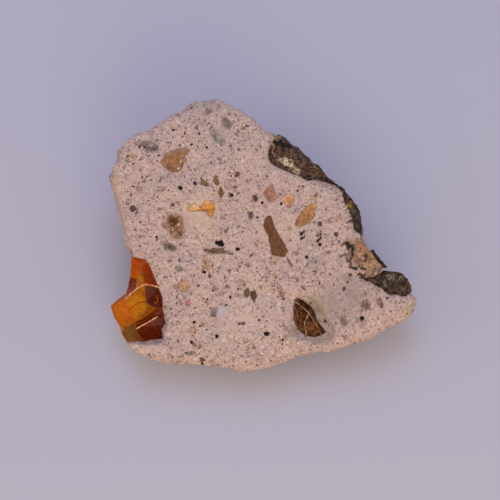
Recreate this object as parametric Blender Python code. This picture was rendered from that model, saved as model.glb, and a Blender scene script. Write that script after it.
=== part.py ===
"""A hand specimen of fire opal in rhyolite, lying on its back. Blender 4.5, metres, +Z up."""
from math import atan2, ceil, cos, hypot, radians, sin

import bmesh
import bpy
from mathutils import Euler, Matrix, Vector, noise

# Driving dimensions in millimetres. Places on the broken face are given across it, up it
# and out of it towards the viewer, from a point near its middle.
MM = 0.001
FACE_TILT = radians(15.0)
FACE_HEIGHT = 14.4
FACE_MIDDLE = (1.5, -3.0)
RIM_DROP = 0.55
WAIST_DROP = 3.2
WAIST_MARGIN = 0.2
OUTLINE_STEP = 1.5
BREAK_STEP = 3.0
BREAK_WELD = 1.15
CONTACT_GAP = 0.3
SEAT_TOP = 2.0
SEAT_ROOT_SHARE = 0.94
SHOULDER_SHARE = 0.25
SHOULDER_DROP = 0.5
LUMP_STEP = 1.0
PIT_LIFT = 0.1
WAIST_CLEAR = 0.3
GROUND_CLEAR = 0.05
LOWEST_KNOB = 0.15
SWELL_LIMIT = 2.0
BASE_CENTRE = (-2.2, 0.6)
BASE_HALF_WIDTH = 10.0
BASE_HALF_DEPTH = 7.5
# The rest patch's uneven edge: share of its reach, waves round it, and where they start.
BASE_WAVES = [(0.09, 3.0, 0.7), (0.05, 7.0, 2.0)]

# How uneven each surface is: rows of the height in mm, the lumps' size in mm, and the number
# of a pattern of lumps.
FACE_SWELLS = [(0.75, 17.0, 1.0), (0.35, 7.0, 2.0)]
RIM_WEAR = [(0.9, 3.5, 3.0)]
SIDE_SWELLS = [(1.3, 11.0, 5.0), (0.6, 4.5, 6.0)]
SIDE_LEVELS = [(0.5, 5.0, 7.0)]
BREAK_KNOCKS = [(0.55, 3.4, 15.0), (0.3, 1.7, 16.0)]
ROOT_SWAY = [(0.35, 3.0, 8.0)]
CRUST_KNOBS = [(0.55, 2.4, 10.0)]
KNOB_SIZE = 1.7
KNOB_PATTERN = 9.0
PIT_GRAIN = 0.9
PIT_PATTERNS = (11.0, 12.0, 13.0)

# The lump's outline seen square to the face, from the top, clockwise. Where an opal, the
# crust or the nodule makes the edge, the points run inside it.
STONE_OUTLINE = [
    (-12.6, 23.7), (-11.2, 24.2), (-9.5, 24.6), (-7.2, 24.2), (-5.0, 23.4), (-2.7, 21.9),
    (-0.4, 20.0), (0.9, 18.9), (2.2, 18.7), (3.2, 17.9), (4.0, 16.2), (5.2, 14.9),
    (6.8, 13.5), (8.2, 12.2), (9.4, 11.2), (10.6, 10.3), (12.4, 9.4), (14.0, 8.5),
    (15.0, 7.2), (15.8, 5.6), (16.5, 3.8), (17.1, 2.3), (17.8, 0.6), (18.5, -0.5), (19.2, -2.0),
    (20.5, -4.0), (22.1, -5.8), (23.0, -7.4), (24.4, -8.6), (25.4, -9.4), (26.5, -10.1),
    (27.9, -10.9), (28.4, -11.9), (27.9, -13.7), (27.2, -14.9), (25.2, -16.0), (22.5, -17.1),
    (19.8, -18.9), (16.6, -20.0), (12.6, -20.7), (8.1, -21.6), (4.5, -22.9), (0.9, -24.1),
    (-1.8, -24.8), (-4.0, -24.7), (-6.3, -24.1), (-9.0, -23.6), (-12.6, -23.4), (-17.1, -23.1),
    (-19.8, -22.5), (-21.6, -21.8), (-23.3, -20.4), (-22.8, -18.6), (-22.0, -16.0),
    (-22.0, -13.0), (-22.3, -10.0), (-22.4, -7.0), (-22.6, -4.6), (-23.8, -2.7), (-24.4, -1.6),
    (-24.9, 1.3), (-25.4, 3.3), (-26.0, 5.3), (-26.4, 7.6), (-27.1, 10.4), (-26.8, 12.2),
    (-26.0, 13.8), (-25.1, 15.6), (-24.4, 17.0), (-22.7, 18.0), (-20.5, 19.1), (-17.8, 20.4),
    (-15.9, 21.7), (-14.8, 22.2),
]

# Rings on the face: the share of the way in from the waist to the face's middle.
FACE_RINGS = (0.9, 0.78, 0.66, 0.54, 0.42, 0.31, 0.2, 0.11, 0.04)

# Rings down the sides, from the waist to the ground: the share of the way in to the rest
# patch, and the share of the way down to it.
SIDE_RINGS = [
    (0.0, 0.14), (0.01, 0.28), (0.03, 0.43), (0.07, 0.57), (0.14, 0.7),
    (0.26, 0.82), (0.45, 0.92), (0.72, 0.98),
]

# Flat breaks on the sides and the back: the way each looks, in compass degrees from +X and
# in degrees below level, and how much of the lump's reach that way it takes off.
BREAKS = [
    (172.0, 30.0, 0.12), (206.0, 48.0, 0.24), (246.0, 32.0, 0.16), (286.0, 50.0, 0.26),
    (322.0, 30.0, 0.14), (352.0, 54.0, 0.3), (24.0, 36.0, 0.24), (58.0, 48.0, 0.28),
    (92.0, 26.0, 0.16), (126.0, 50.0, 0.3), (154.0, 64.0, 0.24), (228.0, 68.0, 0.2),
    (305.0, 70.0, 0.2), (75.0, 68.0, 0.2), (12.0, 72.0, 0.14), (262.0, 60.0, 0.2),
]

# Pits and slits in the face: across, up, length, width, turn in degrees, depth.
PITS = [
    (-7.2, -1.5, 1.8, 1.1, 10.0, 0.7),
    (-7.6, -2.9, 4.2, 0.9, -4.0, 0.5),
    (-15.2, 1.8, 3.0, 2.4, 60.0, 0.6),
    (-9.2, 4.7, 2.0, 2.4, 20.0, 0.5),
    (-0.7, -10.6, 2.6, 2.0, 0.0, 0.6),
    (7.5, -0.2, 1.4, 1.2, 0.0, 0.5),
    (10.6, -0.5, 1.3, 1.6, 30.0, 0.5),
    (1.3, -17.7, 1.3, 0.9, 0.0, 0.5),
    (14.9, -2.4, 2.6, 1.0, -40.0, 0.6),
]

PIT_ROUGHNESS = 0.25
HOLLOW_ROUGHNESS = 0.15
NODULE_ROUGHNESS = 0.5
CHIP_ROUGHNESS = 0.2

# The fire opal's outer edge, clockwise from its top: name, across, up, out.
OPAL_EDGE = [
    ("top_left", -22.9, -3.8, -1.3), ("top_right", -20.6, -4.4, -1.0),
    ("shoulder", -19.6, -5.5, -0.8), ("upper_right", -18.4, -8.2, -0.5),
    ("right", -17.3, -11.1, -0.6), ("lower_right", -17.3, -13.2, -0.9),
    ("right_tip", -16.8, -15.9, -1.8), ("right_nick", -17.6, -17.0, -2.3),
    ("bottom_right", -17.5, -18.8, -3.2), ("bottom", -20.9, -19.4, -3.9),
    ("bottom_left", -23.9, -20.0, -4.8), ("low_left", -25.3, -17.5, -4.2),
    ("left_corner", -25.4, -16.3, -3.5), ("left_side", -26.6, -14.3, -3.3),
    ("left_tip", -27.0, -12.7, -3.4), ("left_shelf", -25.3, -11.3, -2.9),
    ("left_nick", -24.1, -10.5, -2.7), ("upper_left", -23.4, -8.1, -2.4),
]

# The corners inside that edge where the opal's front breaks meet.
OPAL_CROWN = {
    "hollow": (-21.9, -7.2, -1.9),
    "ridge_top": (-20.6, -8.7, 0.25),
    "ridge_middle": (-22.7, -10.2, -0.5),
    "ridge_left": (-24.0, -11.3, -1.4),
    "step": (-20.4, -12.3, -0.7),
    "waist": (-23.6, -13.6, -1.4),
    "foot": (-22.1, -15.7, -1.9),
    "toe": (-24.4, -16.8, -3.1),
}

# The opal's front breaks, each a flat face between named corners.
OPAL_FRONT = [
    "top_left top_right hollow upper_left",
    "top_right shoulder upper_right ridge_top hollow",
    "hollow ridge_top ridge_middle left_nick upper_left",
    "ridge_middle ridge_left left_shelf left_nick",
    "ridge_top step waist ridge_left ridge_middle",
    "ridge_top upper_right right lower_right step",
    "step lower_right foot waist",
    "ridge_left waist foot toe left_corner left_side left_tip left_shelf",
    "toe low_left left_corner",
    "foot lower_right right_tip right_nick bottom_right bottom",
    "foot bottom bottom_left low_left toe",
]

# Below its edge the opal narrows towards this axis: share of the way in, and depth.
OPAL_AXIS = (-20.3, -11.8)
OPAL_ROOT = [(0.04, -5.4), (0.3, -7.8), (0.62, -9.0)]

# The amber opal's edge, clockwise from its top, and the crests and hollow inside it.
AMBER_EDGE = [
    ("top", 6.5, -11.0, -1.0), ("upper_right", 7.9, -11.7, -1.7), ("right", 9.2, -12.8, -2.1),
    ("low_right", 9.9, -14.0, -2.2), ("tail_neck", 10.5, -15.5, -2.0),
    ("tail_bend", 11.1, -16.4, -1.9), ("tail", 12.0, -17.5, -1.8),
    ("tail_under", 11.2, -18.0, -1.9), ("bottom", 9.7, -18.4, -1.9),
    ("bottom_left", 8.4, -18.2, -1.8), ("low_left", 7.2, -17.5, -1.6),
    ("left", 6.4, -16.5, -1.3), ("upper_left", 5.8, -14.9, -0.9), ("shoulder", 5.9, -11.9, -0.7),
]
AMBER_CROWN = {
    "crest_top": (7.0, -12.4, -0.2),
    "crest_middle": (8.7, -13.9, -0.15),
    "crest_low": (9.7, -15.6, -0.35),
    "crest_end": (10.4, -16.9, -0.9),
    "rib": (7.9, -15.7, -0.8),
    "hollow": (6.9, -14.4, -1.1),
}
AMBER_FRONT = [
    "top upper_right crest_top",
    "upper_right right crest_middle crest_top",
    "right low_right tail_neck crest_low crest_middle",
    "tail_neck tail_bend tail tail_under crest_end crest_low",
    "crest_end tail_under bottom bottom_left rib crest_low",
    "rib crest_middle crest_low",
    "rib bottom_left low_left left hollow",
    "left upper_left hollow",
    "hollow upper_left shoulder crest_top",
    "shoulder top crest_top",
    "hollow crest_top crest_middle rib",
]
AMBER_AXIS = (8.3, -15.2)
AMBER_ROOT = [(0.1, -3.4), (0.45, -4.8)]

# The smooth hollow beside and below the amber opal, clockwise, and how it deepens.
HOLLOW_EDGE = [
    (7.2, -10.0), (9.3, -10.9), (11.0, -12.8), (12.6, -15.2), (13.9, -17.4), (13.3, -19.2),
    (11.4, -20.1), (8.8, -19.6), (6.6, -18.4), (5.4, -16.6), (5.3, -14.2), (5.6, -11.6),
]
HOLLOW_AXIS = (9.2, -15.6)
HOLLOW_RINGS = [(-0.12, 1.6), (0.0, 0.1), (0.16, -1.0), (0.42, -1.7), (0.72, -2.0)]

# The dark crust, from its upper left end to its lower right end: across and up of its
# inner edge, then across and up of its outer edge.
CRUST_PATH = [
    (2.5, 17.3, 3.4, 18.4), (1.4, 15.3, 4.5, 17.6), (1.3, 13.5, 5.8, 16.6),
    (2.3, 12.2, 7.2, 15.5), (4.5, 11.3, 8.6, 14.3), (6.5, 10.5, 9.9, 13.1),
    (8.3, 9.5, 11.0, 12.1), (10.1, 9.7, 12.1, 10.6), (11.9, 9.1, 13.3, 9.7),
    (13.5, 8.6, 14.9, 8.6), (14.5, 7.6, 16.2, 7.0), (14.8, 6.1, 17.5, 5.6),
    (15.7, 4.5, 18.0, 4.0), (16.4, 2.7, 18.5, 2.3), (16.6, 0.9, 18.6, 0.9),
    (17.8, 0.0, 18.5, -0.2),
]
# Its section: share of the way from the inner to the outer edge, and height out of the face.
CRUST_SECTION = [
    (0.0, -0.6), (0.16, -1.1), (0.36, -1.5), (0.58, -1.6), (0.8, -1.3), (0.94, -1.9),
    (1.0, -3.2), (0.97, -4.8), (0.8, -6.6), (0.5, -7.6), (0.2, -6.2), (0.06, -4.0),
    (0.0, -2.0),
]
CRUST_ROWS = 28

# How far the crust's seat runs past its two ends, as shares of the path's end rows.
CRUST_SEAT_PAST = (0.2, 0.3)

# The crust's seat in the rock: share of the way across, mm beyond that, and height.
CRUST_SEAT = [
    (0.0, -0.3, SEAT_TOP), (0.0, -0.3, -2.2), (0.06, -0.3, -4.2), (0.2, -0.3, -6.6),
    (0.5, 0.0, -8.5), (0.8, 0.4, -7.3), (1.0, 1.0, -4.8), (1.0, 1.0, SEAT_TOP),
]

# The nodule at the right tip and the chip above it, clockwise, and how each deepens.
NODULE_EDGE = [
    (21.6, -6.7), (22.5, -6.4), (23.6, -6.5), (25.4, -7.0), (26.5, -8.0), (27.0, -9.0),
    (27.0, -10.1), (26.0, -11.2), (24.8, -11.0), (23.8, -10.8), (23.0, -11.0),
    (21.8, -9.9), (20.1, -9.0), (18.7, -8.3), (17.6, -7.4), (19.1, -7.3), (20.5, -7.1),
]
NODULE_AXIS = (23.5, -8.9)
NODULE_RINGS = [
    (0.7, 0.15), (0.4, 0.1), (0.16, -0.2), (0.0, -0.9), (0.0, -2.6), (0.16, -4.4), (0.5, -5.4),
]
NODULE_SEAT = [(0.0, SEAT_TOP), (0.0, -2.7), (0.12, -4.9), (0.4, -6.2)]
CHIP_EDGE = [
    (19.7, -3.0), (20.2, -2.6), (21.3, -4.1), (22.8, -5.8), (22.2, -5.9), (21.4, -5.2),
    (20.6, -4.4),
]
CHIP_AXIS = (21.0, -4.4)
CHIP_RINGS = [(0.4, -0.5), (0.0, -0.8), (0.0, -3.4), (0.4, -4.2)]
CHIP_SEAT = [(0.0, SEAT_TOP), (0.0, -3.5), (0.3, -4.7)]


def face_point(across, up, out=0.0):
    """The world place of a point given in mm on the broken face."""
    y = up * cos(FACE_TILT) - out * sin(FACE_TILT)
    z = FACE_HEIGHT + up * sin(FACE_TILT) + out * cos(FACE_TILT)
    return Vector((across, y, z)) * MM


def lumps(place, size, seed):
    """Smooth noise between -1 and 1 at a place in metres, with lumps of a size in mm."""
    return noise.noise(place / (size * MM) + Vector((seed, 2.3 * seed, -1.7 * seed)))


def unevenness(place, rows):
    """How far a surface stands out at a place in metres, in mm, from its rows of lumps."""
    return sum(height * lumps(place, size, pattern) for height, size, pattern in rows)


def closed_steps(outline, step):
    """Add points along a closed outline, so that no edge is longer than the step."""
    points = []
    for (u0, v0), (u1, v1) in zip(outline, outline[1:] + outline[:1]):
        count = max(1, ceil(hypot(u1 - u0, v1 - v0) / step))
        points += [(u0 + (u1 - u0) * i / count, v0 + (v1 - v0) * i / count) for i in range(count)]
    return points


def rows_along(rows, count):
    """Read the given number of rows from a list of rows of numbers, by straight lines."""
    read = []
    for i in range(count):
        along = i * (len(rows) - 1) / (count - 1)
        low = min(int(along), len(rows) - 2)
        part = along - low
        read.append([a + (b - a) * part for a, b in zip(rows[low], rows[low + 1])])
    return read


def shrunk(outline, axis, share):
    """An outline moved a share of the way in to an axis."""
    return [(u + (axis[0] - u) * share, v + (axis[1] - v) * share) for u, v in outline]


def widened(outline, gap):
    """A clockwise outline moved out by a gap, square to its edges."""
    wider = []
    for before, here, after in zip(outline[-1:] + outline, outline, outline[1:] + outline[:1]):
        first = Vector((here[0] - before[0], here[1] - before[1])).normalized()
        second = Vector((after[0] - here[0], after[1] - here[1])).normalized()
        out = Vector((-first.y - second.y, first.x + second.x)).normalized()
        reach = gap / max(0.5, out.dot(Vector((-first.y, first.x))))
        wider.append((here[0] + out.x * reach, here[1] + out.y * reach))
    return wider


def close(body):
    """Split a body's faces into triangles and turn them all outward."""
    bmesh.ops.triangulate(body, faces=body.faces[:])
    bmesh.ops.recalc_face_normals(body, faces=body.faces[:])
    return body


def skin(rings, first_tip=None, last_tip=None):
    """Join equal rings into one closed body. An end without a tip is closed by a flat face."""
    body = bmesh.new()
    loops = [[body.verts.new(place) for place in ring] for ring in rings]
    count = len(rings[0])
    for upper, lower in zip(loops, loops[1:]):
        for i in range(count):
            j = (i + 1) % count
            body.faces.new((upper[i], lower[i], lower[j], upper[j]))
    for loop, tip in ((loops[0], first_tip), (loops[-1], last_tip)):
        if tip is None:
            body.faces.new(loop)
            continue
        point = body.verts.new(tip)
        for i in range(count):
            body.faces.new((loop[i], loop[(i + 1) % count], point))
    return close(body)


def gem(edge, crown, front, axis, root):
    """A broken opal: its front breaks between named corners, and a root that narrows below."""
    body = bmesh.new()
    corners = {name: body.verts.new(face_point(*place)) for name, place in crown.items()}
    corners.update({name: body.verts.new(face_point(u, v, out)) for name, u, v, out in edge})
    for names in front:
        body.faces.new([corners[name] for name in names.split()])
    upper = [corners[row[0]] for row in edge]
    outline = [(row[1], row[2]) for row in edge]
    for share, depth in root:
        lower = []
        for u, v in shrunk(outline, axis, share):
            sway = unevenness(face_point(u, v, depth), ROOT_SWAY)
            lower.append(body.verts.new(face_point(u, v, depth + sway)))
        for i, (a, b) in enumerate(zip(upper, lower)):
            j = (i + 1) % len(upper)
            body.faces.new((a, b, lower[j], upper[j]))
        upper = lower
    body.faces.new(upper)
    return close(body)


def gem_seat(edge, axis, root):
    """The room that an opal takes: straight up out of the face, and a gap below its root."""
    outline = widened([(row[1], row[2]) for row in edge], CONTACT_GAP)
    rings = [[face_point(u, v, SEAT_TOP) for u, v in outline]]
    rings.append([face_point(u, v, row[3] - CONTACT_GAP) for (u, v), row in zip(outline, edge)])
    for share, depth in root:
        lower = depth - ROOT_SWAY[0][0] - CONTACT_GAP
        ring = shrunk(outline, axis, share * SEAT_ROOT_SHARE)
        rings.append([face_point(u, v, lower) for u, v in ring])
    return skin(rings)


def lump(edge, axis, rings, roughness):
    """A lump with an outline on the face, from rings that each move in and down."""
    outline = closed_steps(edge, LUMP_STEP)
    places = []
    for share, out in rings:
        ring = []
        for u, v in shrunk(outline, axis, share):
            bump = roughness * lumps(face_point(u, v, out), KNOB_SIZE, KNOB_PATTERN)
            ring.append(face_point(u, v, out + bump))
        places.append(ring)
    tips = [face_point(*axis, rings[0][1]), face_point(*axis, rings[-1][1])]
    return skin(places, *tips)


def crust_seat():
    """The room that the crust takes in the rock, as plain sections a little past its ends."""
    first, second = Vector(CRUST_PATH[0]), Vector(CRUST_PATH[1])
    last, before_last = Vector(CRUST_PATH[-1]), Vector(CRUST_PATH[-2])
    start = first + (first - second) * CRUST_SEAT_PAST[0]
    end = last + (last - before_last) * CRUST_SEAT_PAST[1]
    rings = []
    for u0, v0, u1, v1 in [start, *CRUST_PATH, end]:
        inner = Vector((u0, v0))
        across = Vector((u1, v1)) - inner
        ring = []
        for share, beyond, out in CRUST_SEAT:
            place = inner + across * share + across.normalized() * beyond
            ring.append(face_point(place.x, place.y, out))
        rings.append(ring)
    return skin(rings)


def crust_body():
    """The dark crust, as sections along its path, each with lumps on it."""
    rings = []
    for u0, v0, u1, v1 in rows_along(CRUST_PATH, CRUST_ROWS):
        ring = []
        for share, out in CRUST_SECTION:
            u = u0 + (u1 - u0) * share
            v = v0 + (v1 - v0) * share
            rough = unevenness(face_point(u, v, out), CRUST_KNOBS)
            ring.append(face_point(u, v, out + rough))
        rings.append(ring)
    return skin(rings)


def named_object(name, body, colour, roughness):
    """Turn a bmesh into a scene object with its own plain material."""
    mesh = bpy.data.meshes.new(name)
    body.to_mesh(mesh)
    body.free()
    made = bpy.data.objects.new(name, mesh)
    bpy.context.scene.collection.objects.link(made)
    material = bpy.data.materials.new(name)
    material.use_nodes = True
    shader = material.node_tree.nodes["Principled BSDF"]
    shader.inputs["Base Color"].default_value = (*colour, 1.0)
    shader.inputs["Roughness"].default_value = roughness
    shader.inputs["Metallic"].default_value = 0.0
    mesh.materials.append(material)
    return made


def cut(stone, name, body):
    """Take a body's shape out of the stone."""
    tool = named_object(name, body, (0.5, 0.5, 0.5), 0.9)
    tool.hide_render = True
    tool.display_type = "WIRE"
    boolean = stone.modifiers.new(name, "BOOLEAN")
    boolean.object = tool
    boolean.operation = "DIFFERENCE"
    boolean.solver = "EXACT"


def pits_body():
    """All the pits in the face, as flattened balls with their middles on it."""
    body = bmesh.new()
    lean = Euler((FACE_TILT, 0.0, 0.0)).to_matrix().to_4x4()
    for u, v, length, width, turn, depth in PITS:
        place = face_point(u, v, face_relief(u, v) + PIT_LIFT)
        size = Matrix.Diagonal(Vector((length / 2, width / 2, depth, 1.0)))
        spin = Matrix.Rotation(radians(turn), 4, "Z")
        matrix = Matrix.Translation(place) @ lean @ spin @ size
        bmesh.ops.create_icosphere(body, subdivisions=2, radius=MM, matrix=matrix)
    for vert in body.verts:
        away = Vector([lumps(vert.co, PIT_GRAIN, pattern) for pattern in PIT_PATTERNS])
        vert.co += away * PIT_ROUGHNESS * MM
    return close(body)


def base_edge(angle):
    """The rest patch's edge in a compass direction, a rough oval on the ground."""
    reach = 1.0 / hypot(cos(angle) / BASE_HALF_WIDTH, sin(angle) / BASE_HALF_DEPTH)
    reach *= 1.0 + sum(share * sin(waves * angle + start) for share, waves, start in BASE_WAVES)
    u = BASE_CENTRE[0] + reach * cos(angle)
    v = BASE_CENTRE[1] + reach * sin(angle)
    return Vector((u, v, 0.0)) * MM


def face_relief(u, v):
    """How far the broken face stands out at a place, in mm: long swells and small lumps."""
    return unevenness(Vector((u, v, 0.0)) * MM, FACE_SWELLS)


def break_flat(body, waist):
    """Split flat pieces off the sides and the back, none of them above the waist."""
    middle = sum((vert.co for vert in body.verts), Vector()) / len(body.verts)
    for compass, fall, share in BREAKS:
        turn = radians(compass)
        drop = radians(fall)
        away = Vector((cos(turn) * cos(drop), sin(turn) * cos(drop), -sin(drop)))
        reach = max((vert.co - middle).dot(away) for vert in body.verts)
        waist_reach = max((place - middle).dot(away) for place in waist) + WAIST_MARGIN * MM
        limit = max(reach * (1.0 - share), waist_reach)
        everything = body.verts[:] + body.edges[:] + body.faces[:]
        split = bmesh.ops.bisect_plane(
            body, geom=everything, dist=1e-7, plane_co=middle + away * limit, plane_no=away,
            clear_outer=True,
        )
        rim = [item for item in split["geom_cut"] if isinstance(item, bmesh.types.BMEdge)]
        bmesh.ops.holes_fill(body, edges=rim, sides=0)
    return close(body)


def depth_below_face(place):
    """How far a world place lies below the plane of the broken face, in mm."""
    raised = place.z / MM - FACE_HEIGHT
    return place.y / MM * sin(FACE_TILT) - raised * cos(FACE_TILT)


def roughen_breaks(body):
    """Part the long edges below the waist and knock their ends in and out a little."""
    def is_rough(vert):
        below_waist = depth_below_face(vert.co) > WAIST_DROP + WAIST_CLEAR
        return below_waist and vert.co.z > GROUND_CLEAR * MM

    close_places = [vert for vert in body.verts if is_rough(vert)]
    bmesh.ops.remove_doubles(body, verts=close_places, dist=BREAK_WELD * MM)
    for _ in range(3):
        long_edges = []
        for edge in body.edges:
            if edge.calc_length() > BREAK_STEP * MM and any(is_rough(vert) for vert in edge.verts):
                long_edges.append(edge)
        bmesh.ops.subdivide_edges(body, edges=long_edges, cuts=1)
        bmesh.ops.triangulate(body, faces=body.faces[:])
        flat = [edge for edge in body.edges if edge.calc_face_angle(1.0) < radians(0.5)]
        bmesh.ops.beautify_fill(body, faces=body.faces[:], edges=flat, method="ANGLE")
    middle = Vector((0.0, 0.0, 0.6 * FACE_HEIGHT)) * MM
    for vert in body.verts:
        if is_rough(vert):
            knock = unevenness(vert.co, BREAK_KNOCKS)
            vert.co += (vert.co - middle).normalized() * knock * MM
            vert.co.z = max(vert.co.z, LOWEST_KNOB * MM)
    return close(body)


def stone_body():
    """The whole lump: its face, its rim and waist, and its broken sides down to the ground."""
    waist_line = closed_steps(STONE_OUTLINE, OUTLINE_STEP)
    worn = [1.0 + unevenness(face_point(u, v), RIM_WEAR) for u, v in waist_line]
    rings = []
    for share in FACE_RINGS:
        ring = shrunk(waist_line, FACE_MIDDLE, share)
        drop = RIM_DROP if share == FACE_RINGS[-1] else 0.0
        places = []
        for (u, v), wear in zip(ring, worn):
            places.append(face_point(u, v, face_relief(u, v) - drop * wear))
        rings.append(places)
    shoulder = shrunk(waist_line, FACE_MIDDLE, FACE_RINGS[-1] * SHOULDER_SHARE)
    drops = [WAIST_DROP * SHOULDER_DROP * wear for wear in worn]
    rings.append([face_point(u, v, -drop) for (u, v), drop in zip(shoulder, drops)])
    waist = [face_point(u, v, -WAIST_DROP) for u, v in waist_line]
    rings.append(waist)
    middle = face_point(*FACE_MIDDLE)
    feet = [base_edge(atan2(place.y - middle.y, place.x - middle.x)) for place in waist]
    sides = []
    for inward, down in SIDE_RINGS:
        ring = []
        for top, foot in zip(waist, feet):
            level = top.lerp(foot, inward)
            place = Vector((level.x, level.y, top.z * (1.0 - down)))
            away = Vector((place.x, place.y, 0.0)).normalized()
            swell = unevenness(place, SIDE_SWELLS)
            place += away * min(swell, SWELL_LIMIT * down) * MM
            place.z += unevenness(place, SIDE_LEVELS) * MM * (1.0 - down)
            ring.append(place)
        sides.append(ring)
    body = skin([*rings, *sides, feet], face_point(*FACE_MIDDLE, face_relief(*FACE_MIDDLE)))
    return roughen_breaks(break_flat(body, waist))


# Blender's default objects go first.
for old in list(bpy.data.objects):
    bpy.data.objects.remove(old, do_unlink=True)

rhyolite = named_object("rhyolite", stone_body(), (0.49, 0.37, 0.32), 0.9)
fire_gem = gem(OPAL_EDGE, OPAL_CROWN, OPAL_FRONT, OPAL_AXIS, OPAL_ROOT)
fire_opal = named_object("fire_opal", fire_gem, (0.75, 0.2, 0.02), 0.1)
amber_gem = gem(AMBER_EDGE, AMBER_CROWN, AMBER_FRONT, AMBER_AXIS, AMBER_ROOT)
amber_opal = named_object("amber_opal", amber_gem, (0.3, 0.12, 0.03), 0.15)
dark_crust = named_object("dark_crust", crust_body(), (0.06, 0.04, 0.03), 0.4)
nodule_lump = lump(NODULE_EDGE, NODULE_AXIS, NODULE_RINGS, NODULE_ROUGHNESS)
dark_nodule = named_object("dark_nodule", nodule_lump, (0.07, 0.06, 0.05), 0.6)
chip_lump = lump(CHIP_EDGE, CHIP_AXIS, CHIP_RINGS, CHIP_ROUGHNESS)
black_chip = named_object("black_chip", chip_lump, (0.02, 0.015, 0.012), 0.3)

cut(rhyolite, "amber_hollow", lump(HOLLOW_EDGE, HOLLOW_AXIS, HOLLOW_RINGS, HOLLOW_ROUGHNESS))
cut(rhyolite, "fire_opal_seat", gem_seat(OPAL_EDGE, OPAL_AXIS, OPAL_ROOT))
cut(rhyolite, "amber_opal_seat", gem_seat(AMBER_EDGE, AMBER_AXIS, AMBER_ROOT))
cut(rhyolite, "crust_seat", crust_seat())
cut(rhyolite, "nodule_seat", lump(widened(NODULE_EDGE, CONTACT_GAP), NODULE_AXIS, NODULE_SEAT, 0.0))
cut(rhyolite, "chip_seat", lump(widened(CHIP_EDGE, CONTACT_GAP), CHIP_AXIS, CHIP_SEAT, 0.0))
cut(rhyolite, "face_pits", pits_body())

# The whole specimen is moved so that its box stands on the origin.
pieces = [rhyolite, fire_opal, amber_opal, dark_crust, dark_nodule, black_chip]
across = [vert.co.x for piece in pieces for vert in piece.data.vertices]
back = [vert.co.y for piece in pieces for vert in piece.data.vertices]
across_middle = (min(across) + max(across)) / 2
back_middle = (min(back) + max(back)) / 2
for made in bpy.data.objects:
    made.location = (-across_middle, -back_middle, 0.0)
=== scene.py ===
"""The looks of a fire opal specimen: the fine shape and the finish of every piece, and the light."""
from math import cos, hypot, pi, radians, sin

import bmesh
import bpy
import numpy as np
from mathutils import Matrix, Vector, noise
from mathutils.bvhtree import BVHTree
from mathutils.kdtree import KDTree


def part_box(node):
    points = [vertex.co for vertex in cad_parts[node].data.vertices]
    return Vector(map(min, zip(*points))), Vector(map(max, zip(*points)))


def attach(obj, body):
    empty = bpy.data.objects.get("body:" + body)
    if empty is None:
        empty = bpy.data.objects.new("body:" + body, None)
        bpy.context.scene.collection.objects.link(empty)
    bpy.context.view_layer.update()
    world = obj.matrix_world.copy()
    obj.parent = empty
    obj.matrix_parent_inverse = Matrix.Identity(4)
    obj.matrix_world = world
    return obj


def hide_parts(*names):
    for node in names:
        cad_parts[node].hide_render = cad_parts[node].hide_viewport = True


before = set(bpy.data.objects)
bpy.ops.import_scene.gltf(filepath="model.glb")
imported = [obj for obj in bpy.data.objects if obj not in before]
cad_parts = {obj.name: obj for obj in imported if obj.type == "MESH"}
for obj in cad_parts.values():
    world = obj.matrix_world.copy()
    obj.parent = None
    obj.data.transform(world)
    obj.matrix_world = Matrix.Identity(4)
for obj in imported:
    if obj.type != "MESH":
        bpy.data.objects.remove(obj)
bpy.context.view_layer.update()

# Camera. The lump lies on its back, and its broken face leans up at fifteen degrees. The
# picture is taken square onto that face, from a little more than a hand's width away.
# Places on the face are in millimetres across it, up it and out of it.
MM = 0.001
FACE_LEAN = radians(15.0)
FACE_ZERO = Vector((-0.68, -0.67, 14.4)) * MM
FACE_UP = Vector((0.0, cos(FACE_LEAN), sin(FACE_LEAN)))
FACE_OUT = Vector((0.0, -sin(FACE_LEAN), cos(FACE_LEAN)))
PICTURE_MIDDLE = (-1.8, -2.7)
PICTURE_WIDTH = 90.0
CAMERA_DISTANCE = 197.5
CAMERA_SENSOR = 36.0


def on_face(across, up, out=0.0):
    """The world place of a point given in millimetres on the broken face."""
    return FACE_ZERO + (Vector((across, 0.0, 0.0)) + FACE_UP * up + FACE_OUT * out) * MM


camera = bpy.data.objects.new("camera", bpy.data.cameras.new("camera"))
bpy.context.scene.collection.objects.link(camera)
camera.data.sensor_width = CAMERA_SENSOR
camera.data.lens = CAMERA_SENSOR * 200.0 / PICTURE_WIDTH
camera.data.clip_start = 10.0 * MM
camera.location = on_face(*PICTURE_MIDDLE, CAMERA_DISTANCE)
camera.rotation_euler = (FACE_LEAN, 0.0, 0.0)
bpy.context.scene.camera = camera

# The lump of rhyolite. A pinkish lava rock, broken with a hammer: fine, hard groundmass with
# a hackly break, small pits where gas was, and a slightly worn rim round its flattest face.
STONE_GRAIN = 0.38
CONTACT_REACH = 0.95
CONTACT_OVERLAP = 0.12
BED_GAP = 0.3
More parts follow.
